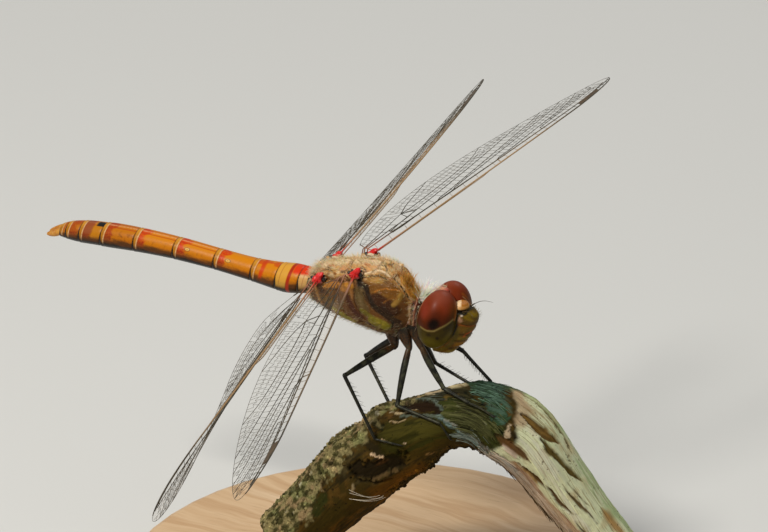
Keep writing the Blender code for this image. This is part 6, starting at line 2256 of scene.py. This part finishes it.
def makeFibres():
    # torn fibres along the bend, the underside of the right arm and the ragged edge of the left one
    look = Finish("tornFibre", {"Roughness": 0.7, "Specular IOR Level": 0.08})
    cloud = look.noise(look.place(), 1.5, 3.0)
    finish = look.feed(baseColor=look.dye(look.paint(), 0.7 + 0.6 * cloud))
    # share from and to, angle from and to, count, length, stand off, thickness and the two end colours
    bunches = (
        (0.44, 0.5, 92, 114, 40, 3.2, 0.08, 0.034, (0.24, 0.28, 0.24), (0.07, 0.08, 0.05)),
        (0.45, 0.54, 46, 92, 120, 2.6, 0.06, 0.032, (0.13, 0.13, 0.045), (0.014, 0.014, 0.003)),
        # fibres lying in the painted shadow of the dragonfly, in the same dark greens
        (0.495, 0.545, -34, 40, 150, 1.2, 0.1, 0.036, (0.105, 0.185, 0.125), (0.004, 0.009, 0.005)),
        (0.46, 0.52, 26, 60, 50, 1.8, 0.06, 0.032, (0.095, 0.09, 0.03), (0.01, 0.009, 0.002)),
        (0.41, 0.46, -14, 20, 24, 1.4, 0.08, 0.034, (0.11, 0.12, 0.09), (0.012, 0.01, 0.003)),
        (0.58, 0.88, 122, 148, 130, 3.2, 0.12, 0.05, (0.66, 0.54, 0.4), (0.2, 0.12, 0.07)),
        (0.58, 0.9, 142, 178, 60, 2.2, 0.2, 0.05, (0.12, 0.07, 0.03), (0.03, 0.018, 0.01)),
        (0.52, 0.6, 118, 140, 34, 4.0, 0.14, 0.04, (0.52, 0.48, 0.4), (0.22, 0.18, 0.14)),
    )
    lines, tints = [], []
    for s0, s1, a0, a1, count, length, off, thick, light, dark in bunches:
        for _ in range(count):
            share, angle = random.uniform(s0, s1), random.uniform(a0, a1)
            reach = length * random.uniform(0.4, 1.2) / perchLook["stretch"]
            drift = random.gauss(0, 4)
            if share < perchLook["windTo"] - 0.03:
                drift += reach * windRate(angle)
            rise = off * random.uniform(0.2, 1.3)
            knots = []
            for step in range(6):
                t = step / 5
                s = share + reach * t
                knots.append((s, angle + drift * t + 2.0 * noise.noise(Vector((s * 40, angle, 0))), t))
            ground, end = (perchSkinAt(share + reach * t, angle + drift * t)[1] for t in (0, 1))
            line = []
            for s, a, t in knots:
                height = blend(ground, end, t) + rise * (0.25 + t * t) - 0.02
                line.append((perchPoint(min(s, 0.97), a, height),
                             thick * random.uniform(0.7, 1.2) * (1 - 0.75 * t * t)))
            if min(point.z for point, size in line) < perch["cutHeight"] + 0.2:
                continue
            lines.append(line)
            tints.append(stepColour(light, dark, random.random()))
    # a few long pale hairs on the dark left arm
    for s, a, ds, da in ((0.196, 90, 0.052, 40), (0.206, 84, 0.04, 34), (0.21, 80, 0.035, 46),
                         (0.2, 94, 0.05, 30)):
        line = []
        for step in range(8):
            t = step / 7
            line.append((perchPoint(s + ds * t, a + da * t, 0.2 + 0.25 * sin(pi * t)), 0.016))
        lines.append(line)
        tints.append((0.7, 0.62, 0.48))
    piece = asMesh(strands("stemFibres", lines))
    # each corner takes the colour of the line it is nearest to
    tree = kdtree.KDTree(sum(len(line) for line in lines))
    for number, line in enumerate(lines):
        for point, size in line:
            tree.insert(point, number)
    tree.balance()
    addPaint(piece, lambda co: tints[tree.find(co)[1]])
    settle(piece, worldFrame, finish, (), 60)


stemFinish = makePerchFinish()
settle(makePerch(), worldFrame, stemFinish, ["perch"], 75)
makeCrumbs(stemFinish)
makeFibres()
print("perch made")

# display stand: oiled wood base and brass rods, painted on the nodes already in the frame

def woodFinish():
    look = Finish("oiledWood", {"Coat Weight": 0.2, "Coat Roughness": 0.25})
    here = look.place()
    x, y, z = look.split(here)
    bent = look.join(x * 0.035, y * 0.45 + look.noise(here, 0.06, 2.0) * 5.0, z * 0.45)
    rings = look.noise(bent, 1.0, 4.0, 0.55)
    pores = look.noise(look.join(x * 0.35, y * 7.0, z * 7.0), 1.0, 3.0, 0.6)
    tone = look.ramp(rings, [(0.3, (0.52, 0.33, 0.17)), (0.48, (0.61, 0.42, 0.24)),
                             (0.58, (0.5, 0.31, 0.155)),
                             (0.72, (0.64, 0.46, 0.28))])
    tone = look.mix(look.rise(pores, 0.58, 0.72) * 0.45, tone, (0.3, 0.17, 0.08))
    return look.feed(baseColor=tone, roughness=0.42 + 0.18 * pores,
                     normal=look.bump(rings * 0.4 - pores * 0.6, 0.05, 0.35))


def brassFinish():
    look = Finish("brushedBrass", {"Metallic": 1.0})
    here = look.place(worldFrame, (1.0, 1.0, 0.15))
    brushed = look.noise(here, 6.0, 3.0)
    tarnish = look.noise(look.place(), 0.8, 3.0)
    tone = look.mix(look.rise(tarnish, 0.45, 0.7) * 0.5, (0.78, 0.53, 0.2), (0.5, 0.3, 0.11))
    return look.feed(baseColor=tone, roughness=0.24 + 0.22 * brushed, normal=look.bump(brushed, 0.01, 0.3))


for standName, standFinish in (("stand_base", woodFinish()), ("stand_rod_1", brassFinish()),
                               ("stand_rod_2", None)):
    holder = bpy.data.objects[standName]
    holder.data.materials.clear()
    holder.data.materials.append(standFinish or bpy.data.objects["stand_rod_1"].data.materials[0])
print("stand made")

# floor, lights and camera

view = {
    "target": (-2.21, 4.27, 31.5), "distance": 500.0, "elevation": 26.0, "heading": 27.35, "lens": 282.3,
    "floorColour": (0.62, 0.62, 0.6), "keyPower": 1.9, "fillPower": 0.22, "backPower": 0.6, "world": 0.26,
    # the place the lights point at, in metres
    "lit": (0.0, 0.0, 0.028),
}


def addLight(name, azimuth, elevation, distance, size, power, colour):
    # azimuth 0 is the camera's side, positive to the right of the view
    lamp = bpy.data.lights.new(name, "AREA")
    lamp.shape = "DISK"
    lamp.size = size
    lamp.energy = power
    lamp.color = colour
    holder = addObject(name, lamp)
    a = radians(view["heading"] + azimuth)
    e = radians(elevation)
    away = Vector((sin(a) * cos(e), -cos(a) * cos(e), sin(e)))
    holder.location = Vector(view["lit"]) + away * distance
    holder.rotation_euler = away.to_track_quat("Z", "Y").to_euler()


def makeStage():
    unpick()
    bpy.ops.mesh.primitive_plane_add(size=6.0, location=(0.0, 0.0, 0.0))
    floor = bpy.context.object
    floor.name = "floor"
    look = Finish("floorPaint", {"Roughness": 0.9, "Specular IOR Level": 0.2})
    cloud = look.noise(look.place(), 0.01, 2.0)
    floor.data.materials.append(look.feed(baseColor=look.mix(cloud * 0.06, view["floorColour"],
                                                             (0.5, 0.5, 0.5))))
    addLight("key", -48, 52, 0.45, 0.1, view["keyPower"], (1.0, 0.965, 0.9))
    addLight("fill", 50, 30, 0.6, 0.35, view["fillPower"], (0.92, 0.97, 1.0))
    addLight("back", 150, 45, 0.5, 0.25, view["backPower"], (1.0, 0.98, 0.94))
    world = bpy.data.worlds.new("softRoom")
    world.use_nodes = True
    air = world.node_tree.nodes["Background"].inputs
    air["Color"].default_value = (0.95, 0.97, 1.0, 1.0)
    air["Strength"].default_value = view["world"]
    bpy.context.scene.world = world


def makeCamera():
    lens = bpy.data.cameras.new("camera")
    lens.lens = view["lens"]
    lens.sensor_width = 36.0
    lens.clip_start = 0.01
    lens.clip_end = 20.0
    camera = addObject("camera", lens)
    turn = Euler((radians(90 - view["elevation"]), 0.0, radians(view["heading"])))
    camera.rotation_euler = turn
    camera.location = (Vector(view["target"]) + turn.to_matrix() @ Vector((0.0, 0.0, view["distance"]))) * mm
    bpy.context.scene.camera = camera


makeStage()
makeCamera()
bpy.context.scene.view_settings.view_transform = "Standard"
print("stage set")
